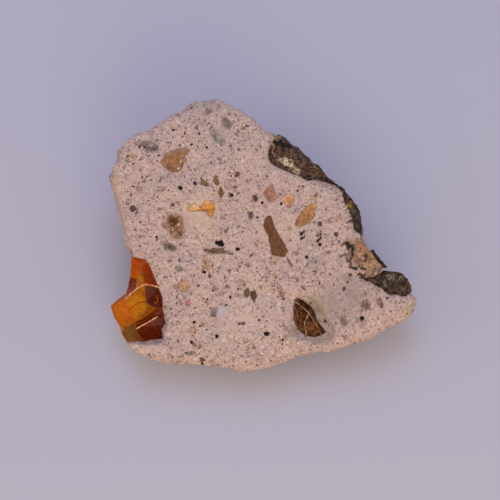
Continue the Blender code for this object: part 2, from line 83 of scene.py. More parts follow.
# The beds under the two opals: places across and up the face, and how far out they lie. The
# opal is thin and golden where its bed is high, and deep and red where it is low.
OPAL_BED = [
    (-21.8, -10.8, -3.6), (-20.9, -8.1, -3.6), (-23.0, -12.0, -4.0), (-21.8, -5.6, -3.8),
    (-19.6, -7.0, -4.0), (-22.9, -8.3, -5.0), (-24.8, -14.0, -4.8), (-21.2, -13.6, -4.0),
    (-18.2, -11.0, -5.6), (-18.6, -13.4, -4.8), (-20.0, -15.3, -5.6), (-20.0, -17.8, -5.6),
    (-24.0, -18.6, -5.3), (-22.2, -18.7, -4.9), (-26.8, -13.0, -5.0), (-23.4, -15.4, -4.8),
    (-17.6, -16.5, -5.8), (-25.4, -15.4, -5.0),
]
LIP_MIDDLE = (-23.2, -20.7)
LIP_REACH = 3.4
AMBER_BED = [(7.0, -13.0, -2.5), (8.2, -15.6, -2.9), (9.6, -16.6, -3.0), (9.2, -13.8, -3.4)]


def fine_copy(node, name, grain):
    """A copy of a solid with an even skin of small faces, whose size is in millimetres."""
    piece = bpy.data.objects.new(name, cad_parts[node].data.copy())
    bpy.context.scene.collection.objects.link(piece)
    remesh = piece.modifiers.new("even skin", "REMESH")
    remesh.mode = "VOXEL"
    remesh.voxel_size = grain * MM
    graph = bpy.context.evaluated_depsgraph_get()
    mesh = bpy.data.meshes.new_from_object(piece.evaluated_get(graph))
    piece.modifiers.clear()
    piece.data = mesh
    mesh.materials.clear()
    mesh.shade_smooth()
    return piece


def read_places(mesh):
    """A mesh's points in millimetres, one row each."""
    places = np.empty((len(mesh.vertices), 3))
    mesh.vertices.foreach_get("co", places.ravel())
    return places / MM


def write_places(mesh, places):
    """Put a mesh's points where the rows say, in millimetres."""
    mesh.vertices.foreach_set("co", (places * MM).astype(np.float32).ravel())
    mesh.update()


def read_normals(mesh):
    """The way each point of a mesh faces."""
    normals = np.empty((len(mesh.vertices), 3), np.float32)
    mesh.vertex_normals.foreach_get("vector", normals.ravel())
    return normals.astype(float)


def soften(mesh, rounds, strength):
    """Even out small bumps: each point moves towards the middle of its neighbours."""
    edges = np.empty((len(mesh.edges), 2), np.int64)
    mesh.edges.foreach_get("vertices", edges.ravel())
    places = read_places(mesh)
    count = np.bincount(edges.ravel(), minlength=len(places))[:, None]
    for _ in range(rounds):
        total = np.zeros_like(places)
        np.add.at(total, edges[:, 0], places[edges[:, 1]])
        np.add.at(total, edges[:, 1], places[edges[:, 0]])
        places += (total / count - places) * strength
    write_places(mesh, places)


def step(value, low, high):
    """A smooth rise from 0 at low to 1 at high."""
    share = np.clip((value - low) / (high - low), 0.0, 1.0)
    return share * share * (3.0 - 2.0 * share)


def face_heights(places):
    """How far places in millimetres stand out of the plane of the broken face."""
    return (places - np.array(FACE_ZERO) / MM) @ np.array(FACE_OUT)


def crumble(place, size, seed, octaves=3):
    """Rough noise between about -1 and 1: lumps of a size, and smaller ones on them."""
    return noise.fractal(place / size + Vector((seed, 1.7 * seed, -2.3 * seed)), 0.9, 2.1, octaves)


def pock(place, spacing, share, reach, seed):
    """How deep a place lies in one of many scattered ragged pits, from 0 to 1."""
    sway = noise.noise_vector(place / (0.4 * spacing)) * 0.16
    distances, middles = noise.voronoi(place / spacing + sway + Vector((seed, seed, seed)))
    chance = 0.5 + 0.5 * noise.cell(middles[0] * 7.3 + Vector((seed, 0.0, 0.0)))
    if chance > share:
        return 0.0
    size = reach * (0.5 + chance / share)
    return max(0.0, 1.0 - (distances[0] / size) ** 2)


def stone_pits(place):
    """How deep a place on the rock lies in the small holes that gas left, in millimetres."""
    large = 0.3 * pock(place, 2.6, 0.3, 0.16, 4.0)
    middling = 0.2 * pock(place, 1.3, 0.42, 0.17, 9.0)
    return max(large, middling, 0.12 * pock(place, 0.8, 0.4, 0.22, 14.0))


def stone_relief(place, side):
    """How far the rock stands out at a place, in millimetres, on its face or on its sides."""
    hackle = abs(crumble(place, 4.2, 3.0, 4))
    facets = noise.voronoi(place / 2.6, distance_metric="MANHATTAN")[0]
    side_relief = 0.7 * hackle + 0.45 * (facets[1] - facets[0]) - 0.44
    face_relief = 0.2 * crumble(place, 3.4, 5.0) + 0.07 * abs(crumble(place, 1.5, 8.0, 2))
    grit = 0.08 * crumble(place, 0.8, 6.0, 3)
    return face_relief * (1.0 - side) + side_relief * side + grit


def roughen(mesh, relief):
    """Move each point along its normal by what the relief gives there, in millimetres."""
    places = read_places(mesh)
    rise = np.array([relief(Vector(place)) for place in places])
    write_places(mesh, places + read_normals(mesh) * rise[:, None])


def solid_tree(node):
    """A search tree of a solid, in millimetres."""
    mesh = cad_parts[node].data
    places = [vert.co / MM for vert in mesh.vertices]
    return BVHTree.FromPolygons(places, [tuple(face.vertices) for face in mesh.polygons])


def close_contact(mesh, node):
    """Draw the rock up against a piece that sits in it, so that no slit shows between them."""
    tree = solid_tree(node)
    low, high = (np.array(corner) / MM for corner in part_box(node))
    places = read_places(mesh)
    near = np.all((places > low - CONTACT_REACH) & (places < high + CONTACT_REACH), axis=1)
    for index in np.flatnonzero(near):
        place = Vector(places[index])
        found, way, _, distance = tree.find_nearest(place, CONTACT_REACH)
        if found is None or (place - found).dot(way) < 0.0:
            continue
        draw = found - place
        above = -draw.dot(FACE_OUT)
        if above > 0.0:
            draw += FACE_OUT * above * 0.8
        share = step(distance, CONTACT_REACH, 0.45)
        places[index] += np.array(draw + draw.normalized() * CONTACT_OVERLAP) * share
    write_places(mesh, places)


def split_front(mesh, lean):
    """Split in four the faces that look out of the broken face, so that they carry more relief."""
    body = bmesh.new()
    body.from_mesh(mesh)
    body.normal_update()
    edges = {edge for face in body.faces if face.normal.dot(FACE_OUT) > lean for edge in face.edges}
    bmesh.ops.subdivide_edges(body, edges=list(edges), cuts=1, use_grid_fill=True)
    body.to_mesh(mesh)
    body.free()
    mesh.shade_smooth()


stone = fine_copy("rhyolite", "rhyolite_lump", STONE_GRAIN)
soften(stone.data, 4, 0.5)
split_front(stone.data, 0.4)
soften(stone.data, 2, 0.5)
stone_sides = step(face_heights(read_places(stone.data)), -0.9, -2.6)
pit_depths = np.array([stone_pits(Vector(place)) for place in read_places(stone.data)])
changes = iter(zip(stone_sides, pit_depths))


def stone_change(place):
    """The rock's relief less its pits, for each of its points in turn."""
    side, pit = next(changes)
    return stone_relief(place, side) - pit


def bed_height(across, up, bed):
    """The height of an opal's bed at a place, led by the bed's own named places."""
    total, weights = 0.0, 0.0
    for bed_across, bed_up, out in bed:
        weight = 1.0 / (0.6 + hypot(across - bed_across, up - bed_up)) ** 4
        total += weight * out
        weights += weight
    return total / weights


def lay_bed(mesh, node, bed):
    """Fill an opal's hollow with rock, up to the bed that the opal lies on."""
    low, high = (np.array(corner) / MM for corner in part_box(node))
    places = read_places(mesh)
    within = np.all((places > low - 1.2) & (places < high + 1.2), axis=1)
    facing = read_normals(mesh) @ np.array(FACE_OUT) > -0.35
    tree = solid_tree(node)
    for index in np.flatnonzero(within & facing):
        away = Vector(places[index]) - FACE_ZERO / MM
        floor = bed_height(away.x, away.dot(FACE_UP), bed) - BED_GAP
        lift = floor - away.dot(FACE_OUT)
        if lift <= 0.0:
            continue
        found, way, _, _ = tree.find_nearest(Vector(places[index]), 1.2)
        if found is not None and (Vector(places[index]) - found).dot(FACE_OUT) < 0.0:
            places[index] += np.array(FACE_OUT) * lift
    write_places(mesh, places)


def draw_out_lip(mesh):
    """Draw the lip of rock under the fire opal out to the opal's lower left corner."""
    places = read_places(mesh)
    away = places - np.array(FACE_ZERO) / MM
    across, up = away[:, 0], away @ np.array(FACE_UP)
    share = step(np.hypot(across - LIP_MIDDLE[0], up - LIP_MIDDLE[1]), LIP_REACH, 0.4)
    share *= step(up, -18.4, -19.6)
    way = -0.9 * Vector((1.0, 0.0, 0.0)) + 0.7 * FACE_UP + 0.5 * FACE_OUT
    write_places(mesh, places + np.array(way) * share[:, None])


roughen(stone.data, stone_change)
draw_out_lip(stone.data)
pit_layer = stone.data.attributes.new("pit", "FLOAT", "POINT")
pit_layer.data.foreach_set("value", pit_depths)
for neighbour in ("fire_opal", "amber_opal", "dark_crust", "dark_nodule", "black_chip"):
    close_contact(stone.data, neighbour)
lay_bed(stone.data, "fire_opal", OPAL_BED)
lay_bed(stone.data, "amber_opal", AMBER_BED)


def feed(tree, socket, value):
    """Give a node's input a link or a plain value."""
    if isinstance(value, bpy.types.NodeSocket):
        tree.links.new(value, socket)
    else:
        socket.default_value = value


def add(tree, kind, inputs=(), **settings):
    """Put a node in a tree, with its settings and its inputs by name."""
    made = tree.nodes.new("ShaderNode" + kind)
    for name, value in settings.items():
        setattr(made, name, value)
    for name, value in dict(inputs).items():
        feed(tree, made.inputs[name], value)
    return made


def maths(tree, operation, *values, clamp=False):
    """The result of a sum on numbers or on links."""
    made = add(tree, "Math", operation=operation, use_clamp=clamp)
    for socket, value in zip(made.inputs, values):
        feed(tree, socket, value)
    return made.outputs[0]


def vector_maths(tree, operation, *values):
    """The result of a sum on vectors: a vector, or a number where the sum gives one."""
    made = add(tree, "VectorMath", operation=operation)
    sockets = [made.inputs[0], made.inputs["Scale"]] if operation == "SCALE" else made.inputs
    for socket, value in zip(sockets, values):
        feed(tree, socket, value)
    return made.outputs["Value" if operation in ("LENGTH", "DOT_PRODUCT") else "Vector"]


def ramp(tree, value, low, high, first=0.0, last=1.0):
    """A smooth change from first to last as a value goes from low to high."""
    made = add(tree, "MapRange", interpolation_type="SMOOTHSTEP")
    for socket, number in zip(made.inputs, (value, low, high, first, last)):
        feed(tree, socket, number)
    return made.outputs["Result"]


def blended(tree, mask, below, above, way="MIX"):
    """Two colours laid one over the other by a mask."""
    made = add(tree, "Mix", data_type="RGBA", blend_type=way)
    for socket, value in zip((made.inputs[0], made.inputs[6], made.inputs[7]), (mask, below, above)):
        feed(tree, socket, value)
    return made.outputs[2]


def tint(red, green, blue):
    """A colour as a screen shows it, from 0 to 255, in the scene's own linear values."""
    parts = [part / 255.0 for part in (red, green, blue)]
    return (*[p / 12.92 if p <= 0.04045 else ((p + 0.055) / 1.055) ** 2.4 for p in parts], 1.0)


def noisy(tree, place, frequency, detail=2.0, roughness=0.5):
    """Smooth noise from 0 to 1, its lumps counted per millimetre."""
    inputs = {"Vector": place, "Scale": frequency, "Detail": detail, "Roughness": roughness}
    return add(tree, "TexNoise", inputs).outputs["Fac"]


def new_group(name, inputs, outputs):
    """An empty shader group: its tree, the sockets it is given and those it makes."""
    tree = bpy.data.node_groups.new(name, "ShaderNodeTree")
    for socket, kind in inputs:
        tree.interface.new_socket(socket, in_out="INPUT", socket_type="NodeSocket" + kind)
    for socket, kind in outputs:
        tree.interface.new_socket(socket, in_out="OUTPUT", socket_type="NodeSocket" + kind)
    given = tree.nodes.new("NodeGroupInput").outputs
    made = tree.nodes.new("NodeGroupOutput").inputs
    return tree, given, made


def place_group():
    """Where a point is on the broken face in millimetres, plainly and with a little sway."""
    tree, _, made = new_group("place on the face", (), [("Place", "Vector"), ("Swayed", "Vector")])
    place = add(tree, "Mapping", vector_type="TEXTURE")
    feed(tree, place.inputs["Vector"], add(tree, "TexCoord").outputs["Object"])
    feed(tree, place.inputs["Location"], FACE_ZERO)
    feed(tree, place.inputs["Rotation"], (FACE_LEAN, 0.0, 0.0))
    feed(tree, place.inputs["Scale"], (MM, MM, MM))
    plain = place.outputs["Vector"]
    sway = add(tree, "TexNoise", {"Vector": plain, "Scale": 1.3, "Detail": 3.0})
    sway = vector_maths(tree, "SUBTRACT", sway.outputs["Color"], (0.5, 0.5, 0.5))
    sway = vector_maths(tree, "SCALE", sway, 1.1)
    feed(tree, made["Place"], plain)
    feed(tree, made["Swayed"], vector_maths(tree, "ADD", plain, sway))
    return tree


def grain_group():
    """Grains scattered through the rock: a mask of them, and a chance number for each."""
    inputs = [("Place", "Vector"), ("Spacing", "Float"), ("Share", "Float"), ("Reach", "Float")]
    tree, given, made = new_group("scattered grains", inputs, [("Mask", "Float"), ("Tone", "Float")])
    scaled = vector_maths(tree, "SCALE", given["Place"], maths(tree, "DIVIDE", 1.0, given["Spacing"]))
    cells = add(tree, "TexVoronoi", {"Vector": scaled, "Scale": 1.0})
    chances = add(tree, "SeparateColor", {"Color": cells.outputs["Color"]})
    size = maths(tree, "MULTIPLY", given["Reach"], ramp(tree, chances.outputs[1], 0.0, 1.0, 0.5, 1.3))
    inside = ramp(tree, cells.outputs["Distance"], size, maths(tree, "MULTIPLY", size, 0.7))
    there = maths(tree, "LESS_THAN", chances.outputs[0], given["Share"])
    feed(tree, made["Mask"], maths(tree, "MULTIPLY", inside, there))
    feed(tree, made["Tone"], chances.outputs[2])
    return tree


def vein_group():
    """A thin vein or painted highlight line between two places, as seen square onto the broken face."""
    inputs = [("Place", "Vector"), ("Start", "Vector"), ("End", "Vector"), ("Width", "Float")]
    tree, given, made = new_group("vein", inputs, [("Mask", "Float")])
    flat = vector_maths(tree, "MULTIPLY", given["Place"], (1.0, 1.0, 0.0))
    out = add(tree, "SeparateXYZ", {"Vector": given["Place"]}).outputs["Z"]
    along = vector_maths(tree, "SUBTRACT", given["End"], given["Start"])
    away = vector_maths(tree, "SUBTRACT", flat, given["Start"])
    share = maths(
        tree, "DIVIDE", vector_maths(tree, "DOT_PRODUCT", away, along),
        vector_maths(tree, "DOT_PRODUCT", along, along), clamp=True,
    )
    rest = vector_maths(tree, "SUBTRACT", away, vector_maths(tree, "SCALE", along, share))
    inner = maths(tree, "MULTIPLY", given["Width"], 0.5)
    mask = ramp(tree, vector_maths(tree, "LENGTH", rest), given["Width"], inner)
    feed(tree, made["Mask"], maths(tree, "MULTIPLY", mask, ramp(tree, out, -6.0, -5.0)))
    return tree


def fleck_group():
    """Ragged flecks: where fine rough noise stands above a level."""
    inputs = [("Place", "Vector"), ("Frequency", "Float"), ("Level", "Float"), ("Softness", "Float")]
    tree, given, made = new_group("ragged flecks", inputs, [("Mask", "Float")])
    rough = noisy(tree, given["Place"], given["Frequency"], 3.0, 0.62)
    top = maths(tree, "ADD", given["Level"], given["Softness"])
    feed(tree, made["Mask"], ramp(tree, rough, given["Level"], top))
    return tree


def lay_veins_and_highlights(tree, colour, rows, place):
    """Lay veins and painted highlights over a colour: each row has the line's half width, its colour and
    its path.
    """
    for width, line_colour, path in rows:
        for start, end in zip(path, path[1:]):
            vein = add(tree, "Group", node_tree=VEIN)
            inputs = {"Place": place, "Start": (*start, 0.0), "End": (*end, 0.0), "Width": width}
            for name, value in inputs.items():
                feed(tree, vein.inputs[name], value)
            colour = blended(tree, vein.outputs["Mask"], colour, tint(*line_colour))
    return colour


PLACES = place_group()
GRAINS = grain_group()
FLECKS = fleck_group()
VEIN = vein_group()



def stain(mesh, patches, veins):
    """Give each point of a piece the two colours that patches and veins mottle it with there."""
    places = read_places(mesh)
    sway = np.array([noise.noise_vector(Vector(place) / 0.8) for place in places])
    away = places + sway * STAIN_SWAY - np.array(FACE_ZERO) / MM
    spots = np.stack([away[:, 0], away @ np.array(FACE_UP), away @ np.array(FACE_OUT)], axis=1)
    layers = []
    for middle, reach, turn, softness, strength, first, second in patches:
        x, y, z = (spots - middle).T
        lean = radians(turn)
        turned = np.stack([x * cos(lean) + y * sin(lean), y * cos(lean) - x * sin(lean), z], axis=1)
        length = np.linalg.norm(turned / reach, axis=1)
        layers.append((strength * step(length, 1.0, 1.0 - softness), first, second))
    uneven = 1.0 + 1.5 * sway[:, 2]
    for width, colour, path in veins:
        for start, end in zip(path, path[1:]):
            along = np.subtract(end, start)
            rest = spots[:, :2] - start
            share = np.clip(rest @ along / (along @ along), 0.0, 1.0)
            distance = np.linalg.norm(rest - share[:, None] * along, axis=1)
            share = step(distance / uneven, width, 0.4 * width) * (spots[:, 2] > -5.5)
            layers.append((share, colour, colour))
    stained = np.zeros(len(places))
    sums = np.zeros((2, len(places), 3))
    for share, first, second in layers:
        stained = share + stained * (1.0 - share)
        for total, colour in zip(sums, (first, second)):
            total *= 1.0 - share[:, None]
            total += share[:, None] * tint(*colour)[:3]
    layer = mesh.attributes.new("stained", "FLOAT", "POINT")
    layer.data.foreach_set("value", stained)
    for name, total in zip(("stain light", "stain dark"), sums):
        colours = np.ones((len(places), 4))
        colours[:, :3] = total / np.maximum(stained, 1e-4)[:, None]
        layer = mesh.attributes.new(name, "FLOAT_COLOR", "POINT")
        layer.data.foreach_set("color", colours.ravel())


def show_stains(tree, colour, mottle):
    """Lay a piece's stains over its own colour, mottled by a noise."""
    mask, light, dark = (add(tree, "Attribute", attribute_name=name).outputs for name
                         in ("stained", "stain light", "stain dark"))
    over = blended(tree, ramp(tree, mottle, 0.42, 0.56), dark["Color"], light["Color"])
    mask = maths(tree, "MULTIPLY", mask["Fac"], ramp(tree, mottle, 0.25, 0.5, 0.7, 1.0))
    return blended(tree, mask, colour, over)


# Colours that the rock takes at places on the face: middle, half sizes, turn in degrees,
# softness, strength, and the two colours that are mottled there.
STAIN_SWAY = 0.35
STONE_PATCHES = [
    ((4.0, 0.0, 0.0), (9.0, 7.0, 3.0), 0.0, 0.9, 0.35, (216, 188, 166), (206, 178, 160)),
    ((-11.0, 3.0, 0.0), (7.0, 5.0, 3.0), 0.0, 0.9, 0.5, (222, 192, 166), (210, 180, 158)),
    ((-3.0, -14.0, 0.0), (9.0, 6.0, 3.0), 0.0, 0.9, 0.4, (216, 188, 180), (206, 180, 176)),
    ((14.0, -12.0, -0.5), (9.0, 6.0, 4.0), 25.0, 0.9, 0.85, (172, 148, 140), (156, 132, 126)),
    ((-25.0, 0.0, -1.0), (1.1, 4.2, 2.5), 12.0, 0.7, 0.75, (214, 186, 132), (190, 154, 104)),
    ((-24.0, -2.5, -0.6), (1.8, 0.75, 1.5), -38.0, 0.5, 0.9, (196, 158, 92), (150, 110, 56)),
    ((-25.5, 8.5, -1.0), (1.2, 4.5, 2.5), 4.0, 0.8, 0.5, (196, 178, 142), (180, 156, 124)),
    ((-10.4, 4.9, -0.2), (3.8, 2.2, 1.6), 5.0, 0.7, 0.7, (226, 200, 176), (214, 182, 154)),
    ((-15.1, 1.7, -0.2), (2.2, 3.0, 1.6), 15.0, 0.5, 0.95, (176, 130, 84), (104, 66, 40)),
    ((-15.5, 2.4, -0.3), (1.1, 1.4, 1.2), 30.0, 0.5, 0.95, (128, 66, 26), (58, 28, 12)),
    ((-14.6, 0.4, -0.3), (1.1, 1.2, 1.2), 30.0, 0.5, 0.9, (176, 140, 104), (84, 58, 38)),
    ((-7.0, 18.0, -0.3), (1.3, 2.6, 1.5), -38.0, 0.8, 0.6, (152, 150, 138), (160, 146, 134)),
    ((-10.8, 23.0, -0.5), (3.5, 1.4, 1.5), 0.0, 0.8, 0.5, (182, 172, 158), (172, 156, 144)),
    ((9.9, -4.7, -0.3), (2.6, 1.7, 1.5), 20.0, 0.8, 0.6, (158, 154, 146), (150, 134, 128)),
    ((14.4, -10.6, -0.3), (1.6, 3.0, 1.5), 10.0, 0.8, 0.6, (190, 182, 184), (176, 162, 162)),
    ((-6.7, -13.8, -0.2), (1.3, 1.4, 1.2), 0.0, 0.8, 0.75, (194, 192, 200), (170, 164, 172)),
    ((10.6, -12.4, -0.8), (2.2, 2.8, 2.2), 25.0, 0.7, 0.8, (170, 160, 134), (150, 138, 116)),
    ((11.0, -18.0, -1.0), (3.6, 2.0, 2.2), 10.0, 0.7, 0.75, (184, 162, 140), (158, 136, 118)),
    ((5.6, -17.6, -0.8), (1.2, 1.6, 1.8), 20.0, 0.7, 0.6, (140, 120, 110), (118, 100, 92)),
    ((17.6, -2.3, -0.5), (3.0, 2.2, 3.0), -30.0, 0.6, 0.9, (188, 140, 104), (116, 76, 52)),
    ((19.4, -4.6, -0.5), (3.4, 3.0, 3.0), -40.0, 0.5, 0.95, (198, 156, 116), (126, 88, 60)),
    ((16.4, -3.6, -0.5), (1.5, 2.6, 3.0), 10.0, 0.7, 0.9, (170, 126, 96), (84, 54, 40)),
    ((17.4, -4.8, -0.5), (1.2, 1.0, 3.0), 10.0, 0.7, 0.8, (150, 106, 76), (96, 64, 46)),
    ((18.2, -2.0, 0.0), (0.6, 0.8, 2.5), 0.0, 0.8, 0.95, (232, 140, 74), (206, 108, 48)),
    ((20.4, -6.4, -0.6), (2.8, 0.9, 3.0), 20.0, 0.7, 0.8, (150, 122, 98), (92, 66, 50)),
    ((26.6, -12.8, -1.2), (1.8, 2.0, 2.5), 0.0, 0.8, 0.6, (186, 170, 146), (170, 150, 128)),
    ((-19.5, -20.5, -2.0), (4.5, 1.4, 2.5), -14.0, 0.8, 0.5, (212, 192, 180), (200, 176, 164)),
    ((-23.6, -19.9, -5.4), (1.6, 0.7, 2.0), 0.0, 0.6, 0.8, (200, 180, 140), (150, 126, 90)),
]

# Dark veins and stains: half width, colour and path.
STONE_VEINS = [
    (0.6, (26, 16, 12), [(15.0, -1.5), (15.8, -1.9), (16.5, -2.5)]),
    (0.4, (32, 20, 14), [(16.5, -2.5), (16.3, -3.4), (16.2, -4.2)]),
    (0.3, (52, 34, 24), [(16.2, -4.2), (15.9, -5.0), (15.8, -5.8), (17.1, -5.9), (18.7, -5.9)]),
    (0.26, (84, 54, 40), [(14.4, -3.6), (15.2, -3.8), (15.8, -5.0)]),
    (0.5, (44, 28, 20), [(18.6, -3.8), (18.8, -3.9)]),
    (0.24, (96, 60, 42), [(17.1, -2.7), (18.0, -3.1), (18.5, -3.7)]),
    (0.4, (66, 44, 32), [(17.4, -7.0), (18.8, -7.4), (20.0, -7.2)]),
    (0.2, (40, 26, 20), [(6.9, 0.4), (7.7, 0.5), (7.9, -0.1), (7.3, -0.7)]),
    (0.2, (40, 26, 20), [(10.0, 0.4), (10.7, 0.3), (10.7, -0.6), (10.2, -1.1)]),
    (0.22, (78, 52, 38), [(-9.6, -2.7), (-8.2, -2.5), (-7.0, -2.6), (-5.6, -3.0)]),
]


def ground_mass():
    """The rhyolite: pinkish and mottled, full of small grains, stained and bleached in places."""
    material = bpy.data.materials.new("rhyolite ground mass")
    material.use_nodes = True
    tree = material.node_tree
    shader = tree.nodes["Principled BSDF"]
    places = add(tree, "Group", node_tree=PLACES)
    place = places.outputs["Place"]
    swayed = places.outputs["Swayed"]
    out = add(tree, "SeparateXYZ", {"Vector": place}).outputs["Z"]

    wide = noisy(tree, place, 0.16, 3.0)
    colour = blended(tree, ramp(tree, wide, 0.35, 0.65), tint(209, 178, 165), tint(199, 170, 163))
    cloudy = noisy(tree, place, 0.9, 5.0, 0.66)
    colour = blended(tree, ramp(tree, cloudy, 0.55, 0.75), colour, tint(214, 194, 186))
    colour = blended(tree, ramp(tree, cloudy, 0.46, 0.3, 0.0, 0.7), colour, tint(156, 130, 124))
    grit = noisy(tree, swayed, 2.8, 3.0, 0.7)
    colour = blended(tree, 1.0, colour, ramp(tree, grit, 0.3, 0.7, 0.69, 1.23), "MULTIPLY")

    weathered = ramp(tree, out, -3.0, -5.5)
    stain = ramp(tree, noisy(tree, place, 0.22, 4.0, 0.6), 0.48, 0.68)
    rust = maths(tree, "MULTIPLY", maths(tree, "MULTIPLY", weathered, stain), 0.6)
    colour = blended(tree, rust, colour, tint(178, 140, 104))

    for spacing, share, reach, strength, dark, light in (
        (3.6, 0.35, 0.26, 0.45, (134, 110, 100), (176, 150, 138)),
        (2.2, 0.4, 0.28, 0.6, (146, 104, 76), (184, 146, 118)),
        (1.5, 0.55, 0.28, 0.75, (104, 74, 62), (158, 128, 116)),
        (1.1, 0.4, 0.3, 0.5, (222, 204, 194), (234, 222, 214)),
        (0.8, 0.55, 0.3, 0.85, (84, 54, 42), (140, 106, 92)),
        (0.5, 0.45, 0.31, 0.75, (64, 38, 28), (120, 86, 72)),
    ):
        grains = add(tree, "Group", node_tree=GRAINS)
        for socket, value in zip(grains.inputs, (swayed, spacing, share, reach)):
            feed(tree, socket, value)
        grain_colour = blended(tree, grains.outputs["Tone"], tint(*dark), tint(*light))
        mask = maths(tree, "MULTIPLY", grains.outputs["Mask"], strength)
        colour = blended(tree, mask, colour, grain_colour)

    crowded = ramp(tree, noisy(tree, place, 0.3, 2.0), 0.3, 0.7, 0.5, 1.0)
    flowing = vector_maths(tree, "MULTIPLY", swayed, (0.7, 1.3, 1.0))
    for frequency, level, softness, strength, fleck in (
        (1.05, 0.62, 0.03, 0.6, (132, 98, 84)),
        (1.9, 0.63, 0.03, 0.8, (98, 64, 50)),
        (3.0, 0.64, 0.03, 0.85, (70, 42, 32)),
    ):
        flecks = add(tree, "Group", node_tree=FLECKS)
        for socket, value in zip(flecks.inputs, (flowing, frequency, level, softness)):
            feed(tree, socket, value)
        mask = maths(tree, "MULTIPLY", flecks.outputs["Mask"], strength)
        colour = blended(tree, maths(tree, "MULTIPLY", mask, crowded), colour, tint(*fleck))

    mottle = noisy(tree, swayed, 1.9, 4.0, 0.7)
    colour = show_stains(tree, colour, mottle)

    for spacing, share, reach in ((2.3, 0.4, 0.085), (1.3, 0.3, 0.09)):
        specks = add(tree, "Group", node_tree=GRAINS)
        for socket, value in zip(specks.inputs, (place, spacing, share, reach)):
            feed(tree, socket, value)
        colour = blended(tree, specks.outputs["Mask"], colour, tint(38, 22, 16))
    # Painted shade: the rock is darkened in its gas pits, the deeper the darker.
    pit = add(tree, "Attribute", attribute_name="pit").outputs["Fac"]
    colour = blended(tree, ramp(tree, pit, 0.02, 0.16, 0.0, 0.85), colour, tint(72, 44, 34))

    feed(tree, shader.inputs["Base Color"], colour)
    feed(tree, shader.inputs["Roughness"], ramp(tree, grit, 0.2, 0.8, 0.95, 0.72))
    height = maths(tree, "ADD", grit, maths(tree, "MULTIPLY", noisy(tree, place, 6.0, 2.0), 0.5))
    bump = add(tree, "Bump", {"Height": height, "Distance": 0.12 * MM, "Strength": 0.7})
    feed(tree, shader.inputs["Normal"], bump.outputs["Normal"])
    return material


stain(stone.data, STONE_PATCHES, STONE_VEINS)
stone.data.materials.append(ground_mass())
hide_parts("rhyolite")
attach(stone, "root")

# Crystals and fragments in the rock. Feldspar that iron has stained, bits of older rock and
# grains of black oxide, all caught in the lava and broken through with the rest of the face.
INLAY_DEPTH = 0.45
INLAY_SEAT = 0.3
INLAY_EDGE_STEP = 0.3
INLAY_WOBBLE = 0.14
# How much the painted light and shade lighten one side of each crystal and darken the other.
INLAY_SHADE = 0.28
INLAY_LAP = 0.002
FLAT_CROWN = (0.2, 1.0, 1.0, 1.0)
DROP_CROWN = (0.1, 0.45, 0.85, 0.97)


def surface_tree(piece):
    """A search tree of a piece's own mesh, in metres."""
    mesh = piece.data
    places = [vert.co for vert in mesh.vertices]
    return BVHTree.FromPolygons(places, [tuple(face.vertices) for face in mesh.polygons])


def inside(outline, across, up):
    """Which of many places lie inside an outline."""
    within = np.zeros(len(across), bool)
    for (u0, v0), (u1, v1) in zip(outline, outline[1:] + outline[:1]):
        crosses = (v0 > up) != (v1 > up)
        if v1 != v0:
            within ^= crosses & (across < (u1 - u0) * (up - v0) / (v1 - v0) + u0)
    return within


def seat(mesh, outlines, depth):
    """Sink the rock under its crystals, so that none of it comes through them."""
    places = read_places(mesh)
    away = places - np.array(FACE_ZERO) / MM
    across, up, out = away[:, 0], away @ np.array(FACE_UP), away @ np.array(FACE_OUT)
    front = (out > -5.0) & (read_normals(mesh) @ np.array(FACE_OUT) > 0.2)
    for outline in outlines:
        sunk = front & inside(outline, across, up)
        places[sunk] -= np.array(FACE_OUT) * depth
    write_places(mesh, places)


stone_surface = surface_tree(stone)


def surface_height(across, up):
    """How far the rock stands out at a place on its face, in millimetres."""
    start = on_face(across, up, 12.0)
    found = stone_surface.ray_cast(start, -FACE_OUT)[0]
    return 0.0 if found is None else (found - FACE_ZERO).dot(FACE_OUT) / MM


def ragged(outline, edge_step, wobble, seed):
    """An outline with points added along it, and knocked in and out a little."""
    points = []
    for (u0, v0), (u1, v1) in zip(outline, outline[1:] + outline[:1]):
        count = max(1, round(hypot(u1 - u0, v1 - v0) / edge_step))
        for i in range(count):
            u = u0 + (u1 - u0) * i / count
            v = v0 + (v1 - v0) * i / count
            place = Vector((u, v, seed)) / 0.6
            points.append((u + wobble * noise.noise(place), v + wobble * noise.noise(-place)))
    return points


def inlay(body, edge, proud, crown, middle_layer, seed):
    """Set one crystal in the face: a break with a narrow worn edge, and sides in the rock."""
    middle = Vector((sum(u for u, _ in edge), sum(v for _, v in edge))) / len(edge)
    heights = [surface_height(u, v) for u, v in edge]
    level = sum(heights) / len(heights)
    loops = []
    for share, rise, flat in (
        (0.0, -INLAY_DEPTH, 0.0), (0.0, proud * crown[0], 0.0), (0.1, proud * crown[1], 0.3),
        (0.45, proud * crown[2], 0.8), (0.75, proud * crown[3], 1.0),
    ):
        loop = []
        for (u, v), height in zip(edge, heights):
            at = Vector((u, v)).lerp(middle, share)
            lift = height + (level - height) * flat + rise
            lift += 0.05 * flat * noise.noise(Vector((at.x, at.y, seed)) / 0.9)
            loop.append(body.verts.new(on_face(at.x, at.y, lift)))
            loop[-1][middle_layer] = share
        loops.append(loop)
    faces = [body.faces.new(loops[0])]
    for lower, upper in zip(loops, loops[1:]):
        for i, (a, b) in enumerate(zip(lower, upper)):
            j = (i + 1) % len(lower)
            faces.append(body.faces.new((a, b, upper[j], lower[j])))
    tip = body.verts.new(on_face(middle.x, middle.y, level + proud))
    tip[middle_layer] = 1.0
    for i, vert in enumerate(loops[-1]):
        faces.append(body.faces.new((vert, tip, loops[-1][(i + 1) % len(loops[-1])])))
    bmesh.ops.recalc_face_normals(body, faces=faces)
    return faces


